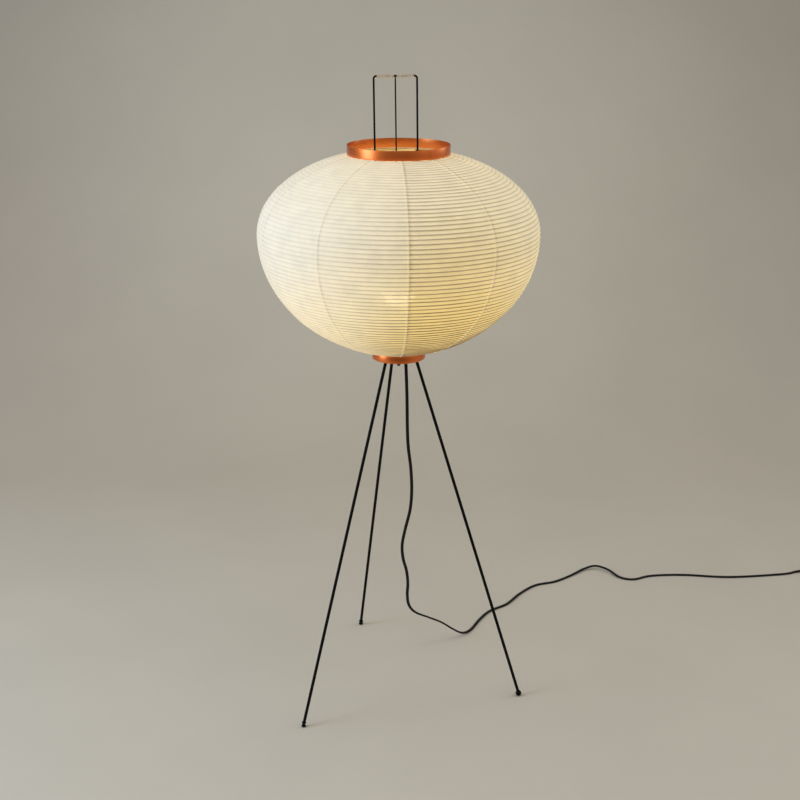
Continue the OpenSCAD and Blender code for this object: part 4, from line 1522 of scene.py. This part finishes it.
@dataclass
class Tripod:
    """Three straight wire legs in a hub, each on a ball foot."""

    levels: Levels
    wire_r: float = 0.003
    top_r: float = 0.0337
    bearings: tuple[float, ...] = (-15.0, 109.0, 225.0)
    feet_out: tuple[float, ...] = (0.252, 0.262, 0.262)
    names: tuple[str, ...] = ("right", "rear", "left")
    foot_r: float = 0.006
    flat_r: float = 0.0019
    foot_bore: float = 0.0036
    bore_fit: float = 0.00006
    bore_edge: float = 0.0005
    socket_h: float = 0.022
    hub_low: float = 0.0015
    leg_short: float = 0.002

    def leg_place(self, number: int) -> Matrix:
        """Give a leg's frame: Z runs up it from the centre of its ball foot.

        Args:
            number: Number of the leg, from 0.

        Returns:
            The frame.
        """
        ball = math.sqrt(self.foot_r ** 2 - self.flat_r ** 2)
        tilt = math.atan((self.feet_out[number] - self.top_r) / (self.levels.low_ring_low - ball))
        return (Matrix.Rotation(math.radians(self.bearings[number]), 4, "Z")
                @ Matrix.Translation((self.feet_out[number], 0, ball)) @ Matrix.Rotation(-tilt, 4, "Y"))

    def leg(self, number: int) -> Object:
        """Make a leg, from its ball foot up into the hub's socket.

        Args:
            number: Number of the leg, from 0.

        Returns:
            The leg.
        """
        place = self.leg_place(number)
        rise = self.levels.low_ring_low + self.hub_low - place.translation.z
        tilt_cos = (place.to_3x3() @ Vector((0, 0, 1))).z
        high = rise / tilt_cos + self.socket_h - self.leg_short
        path = [tuple(place @ Vector((0, 0, h))) for h in np.linspace(-self.foot_bore, high, 30)]
        return wire(f"leg_wire_{self.names[number]}", path, self.wire_r)

    def foot(self, number: int) -> Object:
        """Make a ball foot, with a small flat below and a bore round the leg.

        Args:
            number: Number of the leg, from 0.

        Returns:
            The foot.
        """
        place = self.leg_place(number)
        bore = self.wire_r + self.bore_fit
        low = math.pi - math.asin(self.flat_r / self.foot_r)
        high = math.asin((bore + self.bore_edge) / self.foot_r)
        outline = [(self.foot_r * math.sin(k), self.foot_r * math.cos(k)) for k in np.linspace(low, high, 30)]
        outline += [(bore, outline[-1][1]), (bore, -self.foot_bore), (0.0, -self.foot_bore)]
        outline = [(0.0, outline[0][1])] + outline
        upright = Matrix.Translation(place.translation)
        return self.lean_bore(turned(f"ball_foot_{self.names[number]}", outline, upright, 48), place)

    def lean_bore(self, foot: Object, place: Matrix) -> Object:
        """Lean a foot's upper part with its leg, and leave its flat level.

        Args:
            foot: The foot.
            place: The leg's frame.

        Returns:
            The foot.
        """
        lean, centre = place.to_3x3(), place.translation
        for corner in foot.data.vertices:
            away = corner.co - centre
            share = min(max((away.z + self.foot_r * 0.6) / (self.foot_r * 1.2), 0.0), 1.0)
            corner.co = centre + away.lerp(lean @ away, share)
        foot.data.update()
        return foot

    def build(self, finishes: Finishes) -> None:
        """Build legs, feet, hub and grub screws.

        Args:
            finishes: All materials.
        """
        for number, name in enumerate(self.names):
            finishes.dress(self.leg(number), Body.STAND, Slot.WIRE, f"leg_{name}")
            finishes.dress(self.foot(number), Body.STAND, Slot.WIRE, f"foot_{name}")
        finishes.dress_eased("hub", "hub_plate", Slot.WIRE, 0.0004)
        finishes.dress_eased("leg_grub_screws", "grub_screws", Slot.ZINC, 0.00015, 1)


@dataclass
class BulbAndHolder:
    """The lampholder on its stud, and the round opal bulb in it."""

    levels: Levels
    holder_up: float = 0.014
    base_h: float = 0.018
    core_sunk: float = 0.004
    core_h: float = 0.010
    contact: float = 0.0018
    globe_r: float = 0.030
    cap_r: float = 0.0131
    cap_h: float = 0.025
    tip_h: float = 0.004
    bulb_h: float = 0.108
    wall: float = 0.0008
    neck_gap: float = 0.0006
    neck_turn: float = -44.0
    neck_pull: tuple[float, float] = (0.62, 0.55)
    cap_t: float = 0.0009
    cap_flare: float = 0.0006
    thread_r: float = 0.0008
    thread_pitch: float = 0.0036
    thread_turns: float = 4.2
    thread_up: float = 0.0018
    stud_r: float = 0.00256
    stud_low: float = 0.008
    end_cap_r: float = 0.0033
    end_cap_low: float = 0.0185
    end_cap_top: float = 0.003

    @property
    def cap_low(self) -> float:
        """Height of the bulb's tip."""
        core_low = self.levels.hub_top + self.holder_up + self.base_h - self.core_sunk
        return core_low + self.core_h + self.contact

    def globe(self) -> Object:
        """Make the globe: a thin glass shell that runs smoothly into its neck.

        Returns:
            The globe.
        """
        outside, inside = (self.globe_line(wall) for wall in (0.0, self.wall))
        return turned("opal_globe", outside + inside[::-1], steps=72)

    def globe_line(self, wall: float) -> list[tuple[float, float]]:
        """Draw the globe's profile, from the top down: round, then one curve into the neck.

        Args:
            wall: Depth of the profile below the outer face.

        Returns:
            Radius and height of each point.
        """
        r, centre = self.globe_r - wall, self.cap_low + self.bulb_h - self.globe_r
        line = [(r * math.cos(k), centre + r * math.sin(k))
                for k in np.radians(np.linspace(90, self.neck_turn, 46))]
        line[0] = (0.0, line[0][1])
        (x0, z0), (x1, z1) = line[-1], (self.cap_r + self.neck_gap - wall, self.cap_low + self.cap_h)
        slope = math.radians(self.neck_turn - 90)
        reach, end_share = self.neck_pull[0] * (z0 - z1), self.neck_pull[1]
        for t in np.linspace(0, 1, 16)[1:]:
            a, b, c, d = (1 - t) ** 3, 3 * t * (1 - t) ** 2, 3 * t * t * (1 - t), t ** 3
            line.append((a * x0 + b * (x0 + reach * math.cos(slope)) + c * x1 + d * x1,
                         a * z0 + b * (z0 + reach * math.sin(slope)) + c * (z1 + reach * end_share) + d * z1))
        return line

    def thread_group(self, material: Material) -> NodeTree:
        """Build the tree that winds the rounded thread of the screw cap.

        Args:
            material: The thread's material.

        Returns:
            The tree.
        """
        tree, given = geometry_group("screw_thread", {
            "Turns": ("Float", 5.0), "Radius": ("Float", self.cap_r - self.thread_r),
            "Length": ("Float", 0.018), "Bead": ("Float", self.thread_r)})
        bead = tree.add("GeometryNodeCurvePrimitiveCircle", {
            "Resolution": 10, "Radius": given.outputs["Bead"]})
        return end_geometry(tree, spiral(tree, given, 40), bead.outputs[0], material)

    def cap(self, finishes: Finishes) -> tuple[Object, Object]:
        """Make the screw cap: a pressed shell, and the thread that stands out of it.

        Args:
            finishes: All materials.

        Returns:
            The shell and the thread.
        """
        low, high = self.cap_low + self.tip_h, self.cap_low + self.cap_h
        root = self.cap_r - self.thread_r
        inner, flare = root - self.cap_t, root + self.cap_flare
        outline = [(inner, low), (root - 0.0002, low + 0.0003), (root, low + 0.001), (root, high - 0.004),
                   (flare - 0.0001, high - 0.0035), (flare, high), (flare - 0.001, high),
                   (inner, high - 0.001)]
        shell = turned("cap_shell", outline)
        thread = grown("cap_thread", self.thread_group(finishes[Slot.NICKEL]), {
            "Turns": self.thread_turns, "Length": self.thread_turns * self.thread_pitch, "Radius": root,
            "Bead": self.thread_r})
        thread.data.transform(Matrix.Translation((0, 0, low + self.thread_up)))
        return shell, facing_out(thread)

    def build(self, finishes: Finishes) -> None:
        """Build the bulb, the lampholder's pieces and what clamps them.

        Args:
            finishes: All materials.
        """
        finishes.dress(self.globe(), Body.BULB, Slot.OPAL, "bulb_globe")
        shell, thread = self.cap(finishes)
        finishes.dress(shell, Body.BULB, Slot.NICKEL, "bulb_cap")
        finishes.dress(thread, Body.BULB, Slot.NICKEL)
        finishes.dress_eased("bulb_tip", "cap_insulator", Slot.TIP, 0.0004, body=Body.BULB)
        for node, name, slot, radius in (
                ("holder_base", "holder_cup", Slot.PLASTIC, 0.0008),
                ("holder_sleeve", "holder_skirt", Slot.PLASTIC, 0.0004),
                ("holder_core", "holder_insulator", Slot.PORCELAIN, 0.0006),
                ("thread_shell", "holder_thread", Slot.BRASS, 0.0001),
                ("centre_contact", "contact_spring", Slot.BRASS, 0.0003),
                ("centre_stud", "threaded_stud", Slot.DARK_STEEL, 0.0003),
                ("stud_nut", "stud_nuts", Slot.ZINC, 0.0003),
                ("spacer", "spacer_tube", Slot.DARK_STEEL, 0.0004),
                ("cord_grommet", "grommet", Slot.PLASTIC, 0.0004)):
            finishes.dress_eased(node, name, slot, radius)
        finishes.dress(self.end_cap(), Body.STAND, Slot.PLASTIC)

    def end_cap(self) -> Object:
        """Make the black cap that is pushed on the stud's lower end.

        Returns:
            The cap.
        """
        ring, r = self.levels.low_ring_low, self.end_cap_r
        low, high, floor = ring - self.end_cap_low, ring - self.end_cap_top, ring - self.stud_low
        nose = [(r * math.sin(k), low + 0.8 * r * (1 - math.cos(k))) for k in np.linspace(0, math.pi / 2, 10)]
        outline = [(0.0, low)] + nose[1:] + [(r, high - 0.0004), (r - 0.0003, high), (self.stud_r, high),
                                             (self.stud_r, floor), (0.0, floor)]
        return turned("stud_end_cap", outline, steps=40)


@dataclass
class Flex:
    """The flat twin flex, the foot switch in it and the plug on its end."""

    levels: Levels
    width: float = 0.0064
    thickness: float = 0.004
    exit_x: float = 0.013
    lay: float = 0.0022
    line_y: float = 0.525
    switch_x: float = 1.003
    switch_l: float = 0.070
    switch_z: float = 0.006
    clamp: float = 0.004
    coil_turns: int = 2
    coil_r: float = 0.040
    coil_pitch: float = 0.007
    layer_h: float = 0.0046
    climb: float = 0.25
    coil_away: float = 0.062
    coil_steps: int = 48
    plug_away: float = 0.022
    lead: float = 0.030
    settle: float = 0.125
    plug_w: float = 0.0353
    plug_t: float = 0.0137
    plug_l: float = 0.036
    plug_edge: float = 0.0012
    plug_sides: int = 48
    guard_r: float = 0.00535
    guard_run: tuple[float, float] = (0.0006, 0.0085)
    guard_rib: float = 0.0005
    guard_pitch: float = 0.0022
    swell_run: tuple[float, float] = (0.009, 0.016)
    swell_power: float = 0.9
    pin_r: float = 0.002
    pin_l: float = 0.019
    pin_gap: float = 0.0186

    @property
    def exit(self) -> Point:
        """Point where the flex leaves the lamp."""
        return (self.exit_x, 0.0, self.levels.low_ring_low + 0.0005)

    @property
    def switch_end(self) -> float:
        """Place of the switch's far end along X."""
        return self.switch_x + self.switch_l

    @property
    def plug_x(self) -> float:
        """Place of the plug's back along X."""
        return self.switch_end + self.coil_away + self.coil_r + self.plug_away

    def route(self) -> list[Point]:
        """List the points that the flex passes through, from the lamp to the switch.

        Returns:
            The points.
        """
        lay = self.lay
        return [
            self.exit, (0.014, 0.0, 0.680), (0.016, 0.002, 0.620), (0.017, 0.006, 0.550),
            (0.019, 0.010, 0.508), (0.024, 0.018, 0.462), (0.026, 0.026, 0.412), (0.023, 0.038, 0.365),
            (0.013, 0.052, 0.315), (0.007, 0.065, 0.275), (0.009, 0.076, 0.240), (0.016, 0.086, 0.208),
            (0.019, 0.096, 0.174), (0.018, 0.106, 0.141), (0.022, 0.117, 0.112), (0.036, 0.128, 0.090),
            (0.066, 0.145, 0.069), (0.093, 0.162, 0.049), (0.118, 0.176, 0.026), (0.140, 0.192, 0.008),
            (0.160, 0.218, lay), (0.184, 0.270, lay), (0.210, 0.312, lay), (0.250, 0.346, lay),
            (0.286, 0.402, lay), (0.326, 0.446, lay), (0.374, 0.466, lay), (0.416, 0.500, lay),
            (0.452, 0.532, 0.005), (0.482, 0.543, 0.008), (0.510, 0.526, 0.006), (0.534, 0.490, 0.0026),
            (0.566, 0.479, lay), (0.612, 0.499, lay), (0.690, 0.504, lay), (0.800, 0.492, lay),
            (0.930, 0.508, lay), (0.968, 0.521, 0.003),
            (self.switch_x - self.width, self.line_y, self.switch_z),
            (self.switch_x + self.clamp, self.line_y, self.switch_z)]

    def section(self) -> np.ndarray:
        """Draw the flex's section: two round cores side by side, with a shallow groove between.

        Returns:
            Two coordinates for each corner.
        """
        r = self.thickness / 2
        off = (self.width - self.thickness) / 2
        groove = 0.82 * r
        right = [(off + r * math.cos(k), r * math.sin(k)) for k in np.radians(np.linspace(-115, 115, 13))]
        left = [(-x, -y) for x, y in right]
        return np.array(right + [(0.0, groove)] + left + [(0.0, -groove)])

    def flat_sides(self, ahead: np.ndarray, side: Sequence[float]) -> np.ndarray:
        """Turn the flex's wide side to the floor as it lies down.

        Args:
            ahead: Direction of travel at each point.
            side: Side direction at the start.

        Returns:
            The side direction at each point.
        """
        sides = np.zeros_like(ahead)
        current = np.array(side, float)
        for i, way in enumerate(ahead):
            flat = np.cross((0, 0, 1), way)
            current = current - current.dot(way) * way
            current = current + flat * (-self.settle if flat.dot(current) < 0 else self.settle)
            current /= np.linalg.norm(current)
            sides[i] = current
        return sides

    def coil_path(self) -> np.ndarray:
        """Draw the path past the switch: two flat turns inwards, two outwards on top, and to the plug.

        Returns:
            The points of the path.
        """
        centre = (self.switch_end + self.coil_away, self.line_y - self.coil_r)
        plug_z = self.plug_t / 2
        turns = np.linspace(-self.coil_turns, self.coil_turns, 2 * self.coil_turns * self.coil_steps + 1)
        radius = self.coil_r - self.coil_pitch * (self.coil_turns - np.abs(turns))
        angle = math.pi / 2 - math.tau * (turns + self.coil_turns)
        height = self.lay + self.layer_h * np.clip((turns + self.climb) / (2 * self.climb), 0, 1)
        across, away = centre[0] + radius * np.cos(angle), centre[1] + radius * np.sin(angle)
        loops = np.stack([across, away, height], axis=1)
        before = smooth_path([(self.switch_end - self.clamp, self.line_y, self.switch_z),
                              (self.switch_end + self.width, self.line_y, self.switch_z),
                              (self.switch_end + self.lead, self.line_y, self.lay + 0.001), tuple(loops[0])])
        after = smooth_path([tuple(loops[-1]), (centre[0] + self.lead, self.line_y, self.lay + self.layer_h),
                             (self.plug_x - self.width, self.line_y, plug_z),
                             (self.plug_x, self.line_y, plug_z)])
        return np.vstack([before[:-1], loops, after[1:]])

    def free_flex(self, name: str, path: np.ndarray, side: Sequence[float]) -> Object:
        """Sweep the flex along a path.

        Args:
            name: The piece's name.
            path: Points of the path.
            side: Direction of its wide side at the start.

        Returns:
            The flex.
        """
        ahead, _ = frames_along(path, side)
        sides = self.flat_sides(ahead, side)
        up = np.cross(ahead, sides)
        section = self.section()
        rings = path[:, None] + section[None, :, :1] * sides[:, None] + section[None, :, 1:] * up[:, None]
        return tube(name, rings, path[[0, -1]], 60)

    def plug(self) -> Object:
        """Make the plug's body: round at the flex, with a ribbed guard, then flat and wide at its face.

        Returns:
            The plug's body.
        """
        length, edge = self.plug_l, self.plug_edge
        stations = np.r_[0.0, 0.0006, np.linspace(edge, length - edge, 60), length - 0.0004, length]
        k = np.linspace(0, math.tau, self.plug_sides, endpoint=False)
        c, s = np.cos(k), np.sin(k)
        rings = []
        for x in stations:
            share = gentle(np.clip((x - self.swell_run[0]) / self.swell_run[1], 0, 1))
            a = self.guard_r + (self.plug_w / 2 - self.guard_r) * share
            b = self.guard_r + (self.plug_t / 2 - self.guard_r) * share
            inset = self.guard_groove(x) + self.end_inset(x)
            power = 2 + self.swell_power * share
            y = (a - inset) * np.sign(c) * np.abs(c) ** (2 / power)
            z = (b - inset) * np.sign(s) * np.abs(s) ** (2 / power)
            rings.append(np.stack([np.full(self.plug_sides, x), y, z], axis=1))
        place = np.array((self.plug_x, self.line_y, self.plug_t / 2))
        ends = np.array([[0, 0, 0], [length, 0, 0]])
        return tube("plug_moulding", np.stack(rings) + place, ends + place, 50)

    def guard_groove(self, x: float) -> float:
        """Give the depth of the guard's grooves at a distance from the plug's back.

        Args:
            x: The distance.

        Returns:
            The depth, which is 0 past the guard.
        """
        start, end = self.guard_run
        if not start < x < end:
            return 0.0
        return self.guard_rib * max(0.0, math.cos(math.tau * (x - self.plug_edge) / self.guard_pitch))

    def end_inset(self, x: float) -> float:
        """Give how far the rounding of the plug's ends draws its side in.

        Args:
            x: Distance from the plug's back.

        Returns:
            The depth, which is 0 away from both ends.
        """
        ease = min(x, self.plug_l - x) / self.plug_edge
        if ease >= 1:
            return 0.0
        return self.plug_edge * 0.6 * (1 - math.sqrt(max(0.0, 1 - (1 - ease) ** 2)))

    def pins(self) -> Object:
        """Make both round pins on the plug's face, rounded at the far end.

        Returns:
            Both pins, as one piece.
        """
        nose = self.pin_r * 0.6
        outline = [(0.0, 0.0), (self.pin_r, 0.0), (self.pin_r, self.pin_l - nose)]
        outline += [(self.pin_r - nose * (1 - math.cos(k)), self.pin_l - nose * (1 - math.sin(k)))
                    for k in np.linspace(0, math.pi / 2, 6)[1:]]
        outline += [(0.0, self.pin_l)]
        made = []
        for side in (-1, 1):
            place = Matrix.Translation((self.plug_x + self.plug_l, self.line_y + side * self.pin_gap / 2,
                                        self.plug_t / 2))
            made.append(turned("contact_pins", outline, place @ Matrix.Rotation(math.pi / 2, 4, "Y"), 32))
        left, right = made
        add_mesh(left.data, right.data)
        bpy.data.objects.remove(right)
        smoothed(left.data, 40)
        return left

    def build(self, finishes: Finishes) -> None:
        """Build the flex, its switch and its plug.

        Args:
            finishes: All materials.
        """
        stand, dress_eased = Body.STAND, finishes.dress_eased
        dress_eased("lead_inside", "inner_lead", Slot.FLEX, 0.0002, 1)
        switch = [
            dress_eased("switch_base", "switch_underside", Slot.PLASTIC, 0.0005),
            dress_eased("switch_cover", "switch_casing", Slot.PLASTIC, 0.0011, 4),
            dress_eased("switch_block", "switch_works", Slot.PLASTIC, 0.0004),
            dress_eased("switch_screws", "casing_screws", Slot.ZINC, 0.0003),
            dress_eased("switch_button", "foot_button", Slot.PLASTIC, 0.0012, 4, Body.BUTTON)]
        path = smooth_path(self.route())
        run = finishes.dress(self.free_flex("flex_run", path, (1, 0, 0)), stand, Slot.FLEX, "cord_run")
        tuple(self.exit)
        plug = [finishes.dress(self.plug(), stand, Slot.PLASTIC, "plug_body"),
                finishes.dress(self.pins(), stand, Slot.NICKEL, "plug_pins")]
        path = self.coil_path()
        coil = finishes.dress(self.free_flex("flex_coil", path, (0, 1, 0)), stand, Slot.FLEX, "cord_coil")


# ---- Studio ----


@dataclass(frozen=True)
class SoftBox:
    """A wide soft lamp."""

    name: str
    place: Point
    aim: Point
    size: tuple[float, float]
    power: float
    colour: Colour

    def hang(self) -> None:
        """Hang the lamp at its place, pointing at its aim."""
        light = bpy.data.lights.new(self.name, "AREA")
        light.shape = "RECTANGLE"
        light.size, light.size_y = self.size
        light.energy = self.power
        light.color = self.colour
        holder = linked(self.name, light)
        holder.location = self.place
        way = Vector(self.aim) - Vector(self.place)
        holder.rotation_euler = way.to_track_quat("-Z", "Y").to_euler()


@dataclass
class Studio:
    """A pale seamless floor, soft light from the left, and the camera."""

    floor: Colour = (0.665, 0.61, 0.525)
    wall: Colour = (0.65, 0.59, 0.487)
    # Colour of the painted shade on the wall away from the light patch.
    edge: Colour = (0.472, 0.412, 0.343)
    smudge: Colour = (0.2, 0.19, 0.17)
    half_width: float = 7.0
    front: float = -1.1
    bend_start: float = 1.15
    bend_r: float = 1.3
    height: float = 5.0
    camera_place: Point = (0.00253, -2.54718, 1.42998)
    camera_down: float = math.radians(17.84)
    lens: float = 61.95
    sensor: float = 36.0
    sight: float = 50.0
    room_light: float = 0.68
    room_colour: Colour = (1.03, 1.0, 0.91)
    room_share: float = 0.5
    below_share: float = 0.35
    lamps: tuple[SoftBox, ...] = (
        SoftBox("window", (-2.8, -0.95, 1.5), (0, 0, 0.95), (1.3, 2.8), 43, (0.75, 1.0, 1.34)),
        SoftBox("rim", (2.6, 1.0, 1.7), (0, 0, 0.85), (0.9, 1.6), 10, (0.84, 1.0, 1.22)))

    def sweep(self) -> None:
        """Make the seamless sheet: level, then bent up behind the lamp."""
        line = [(y, 0.0) for y in np.linspace(self.front, self.bend_start, 8)]
        line += [(self.bend_start + self.bend_r * math.sin(k), self.bend_r * (1 - math.cos(k)))
                 for k in np.linspace(0, math.pi / 2, 24)[1:]]
        line += [(self.bend_start + self.bend_r, z) for z in np.linspace(self.bend_r + 0.3, self.height, 6)]
        points = [(x, y, z) for y, z in line for x in (-self.half_width, self.half_width)]
        faces = [[2 * i, 2 * i + 1, 2 * i + 3, 2 * i + 2] for i in range(len(line) - 1)]
        mesh = bpy.data.meshes.new("seamless")
        mesh.from_pydata(points, [], faces)
        mesh.polygons.foreach_set("use_smooth", [True] * len(mesh.polygons))
        mesh.materials.append(self.sweep_material())
        linked("seamless", mesh)

    def sweep_material(self) -> Material:
        """Mix matt paint with painted shade, a little darker up the wall and away from a light patch behind
        the lamp, with nothing to see from behind.

        Returns:
            The material.
        """
        made = bpy.data.materials.new("seamless_paint")
        tree = cleared(made)
        back = tree.span(tree.split(tree.object_place())[1], -0.6, 2.4)
        colour = tree.blend(back, self.floor, self.wall)
        # Painted shade: the wall darkens away from a light patch behind the lamp.
        off = tree.distance(tree.object_place((1.0, 0.0, 0.9)), (-0.05, 0.0, 0.95))
        edge = tree.math("MULTIPLY", tree.span(off, 0.35, 1.7), back)
        colour = tree.blend(edge, colour, self.edge)
        cloud = tree.span(tree.noise(tree.object_place(), 3.0, 3.0), 0.3, 0.7)
        colour = tree.blend(tree.math("MULTIPLY", cloud, 0.05), colour, self.smudge)
        surface = tree.principled(base_color=colour, roughness=0.9, specular_ior_level=0.1)
        behind = tree.add("ShaderNodeNewGeometry").outputs["Backfacing"]
        clear = tree.add("ShaderNodeBsdfTransparent").outputs[0]
        tree.cover(tree.add("ShaderNodeMixShader", {0: behind, 1: surface, 2: clear}).outputs[0])
        return made

    def world(self) -> None:
        """Fill the studio with soft light, less from behind the camera and from below the floor."""
        made = bpy.data.worlds.new("studio")
        tree = cleared(made)
        way = tree.split(tree.add("ShaderNodeTexCoord").outputs["Generated"])
        room = tree.span(way[1], -0.95, -0.45, self.room_share, 1.0)
        below = tree.span(way[2], -0.12, 0.05, self.below_share, 1.0)
        shown = tree.blend(1.0, self.room_colour, tree.math("MULTIPLY", room, below), "MULTIPLY")
        light = tree.add("ShaderNodeBackground", {"Color": shown, "Strength": self.room_light})
        tree.add("ShaderNodeOutputWorld", {"Surface": light.outputs[0]})
        bpy.context.scene.world = made

    def camera(self) -> None:
        """Stand the camera where the photograph was taken."""
        data = bpy.data.cameras.new("camera")
        data.lens, data.sensor_width = self.lens, self.sensor
        data.clip_end = self.sight
        holder = linked("camera", data)
        holder.location = self.camera_place
        holder.rotation_euler = (math.pi / 2 - self.camera_down, 0, 0)
        bpy.context.scene.camera = holder

    def build(self) -> None:
        """Set up floor, light and camera."""
        bpy.context.scene.view_settings.view_transform = "Standard"
        self.sweep()
        self.world()
        for lamp in self.lamps:
            lamp.hang()
        self.camera()


def main() -> None:
    """Build the studio, then the lamp from the floor up."""
    logging.basicConfig(level=logging.INFO, format="%(name)s: %(message)s")
    Studio().build()
    finishes = Finishes()
    levels = Levels()
    for part in (Tripod(levels), Flex(levels), BulbAndHolder(levels), CopperRings(levels), PaperShade(levels),
                 Bails(levels)):
        part.build(finishes)
        log.info("%s done", type(part).__name__)
    bpy.context.view_layer.update()


if __name__ == "__main__":
    main()
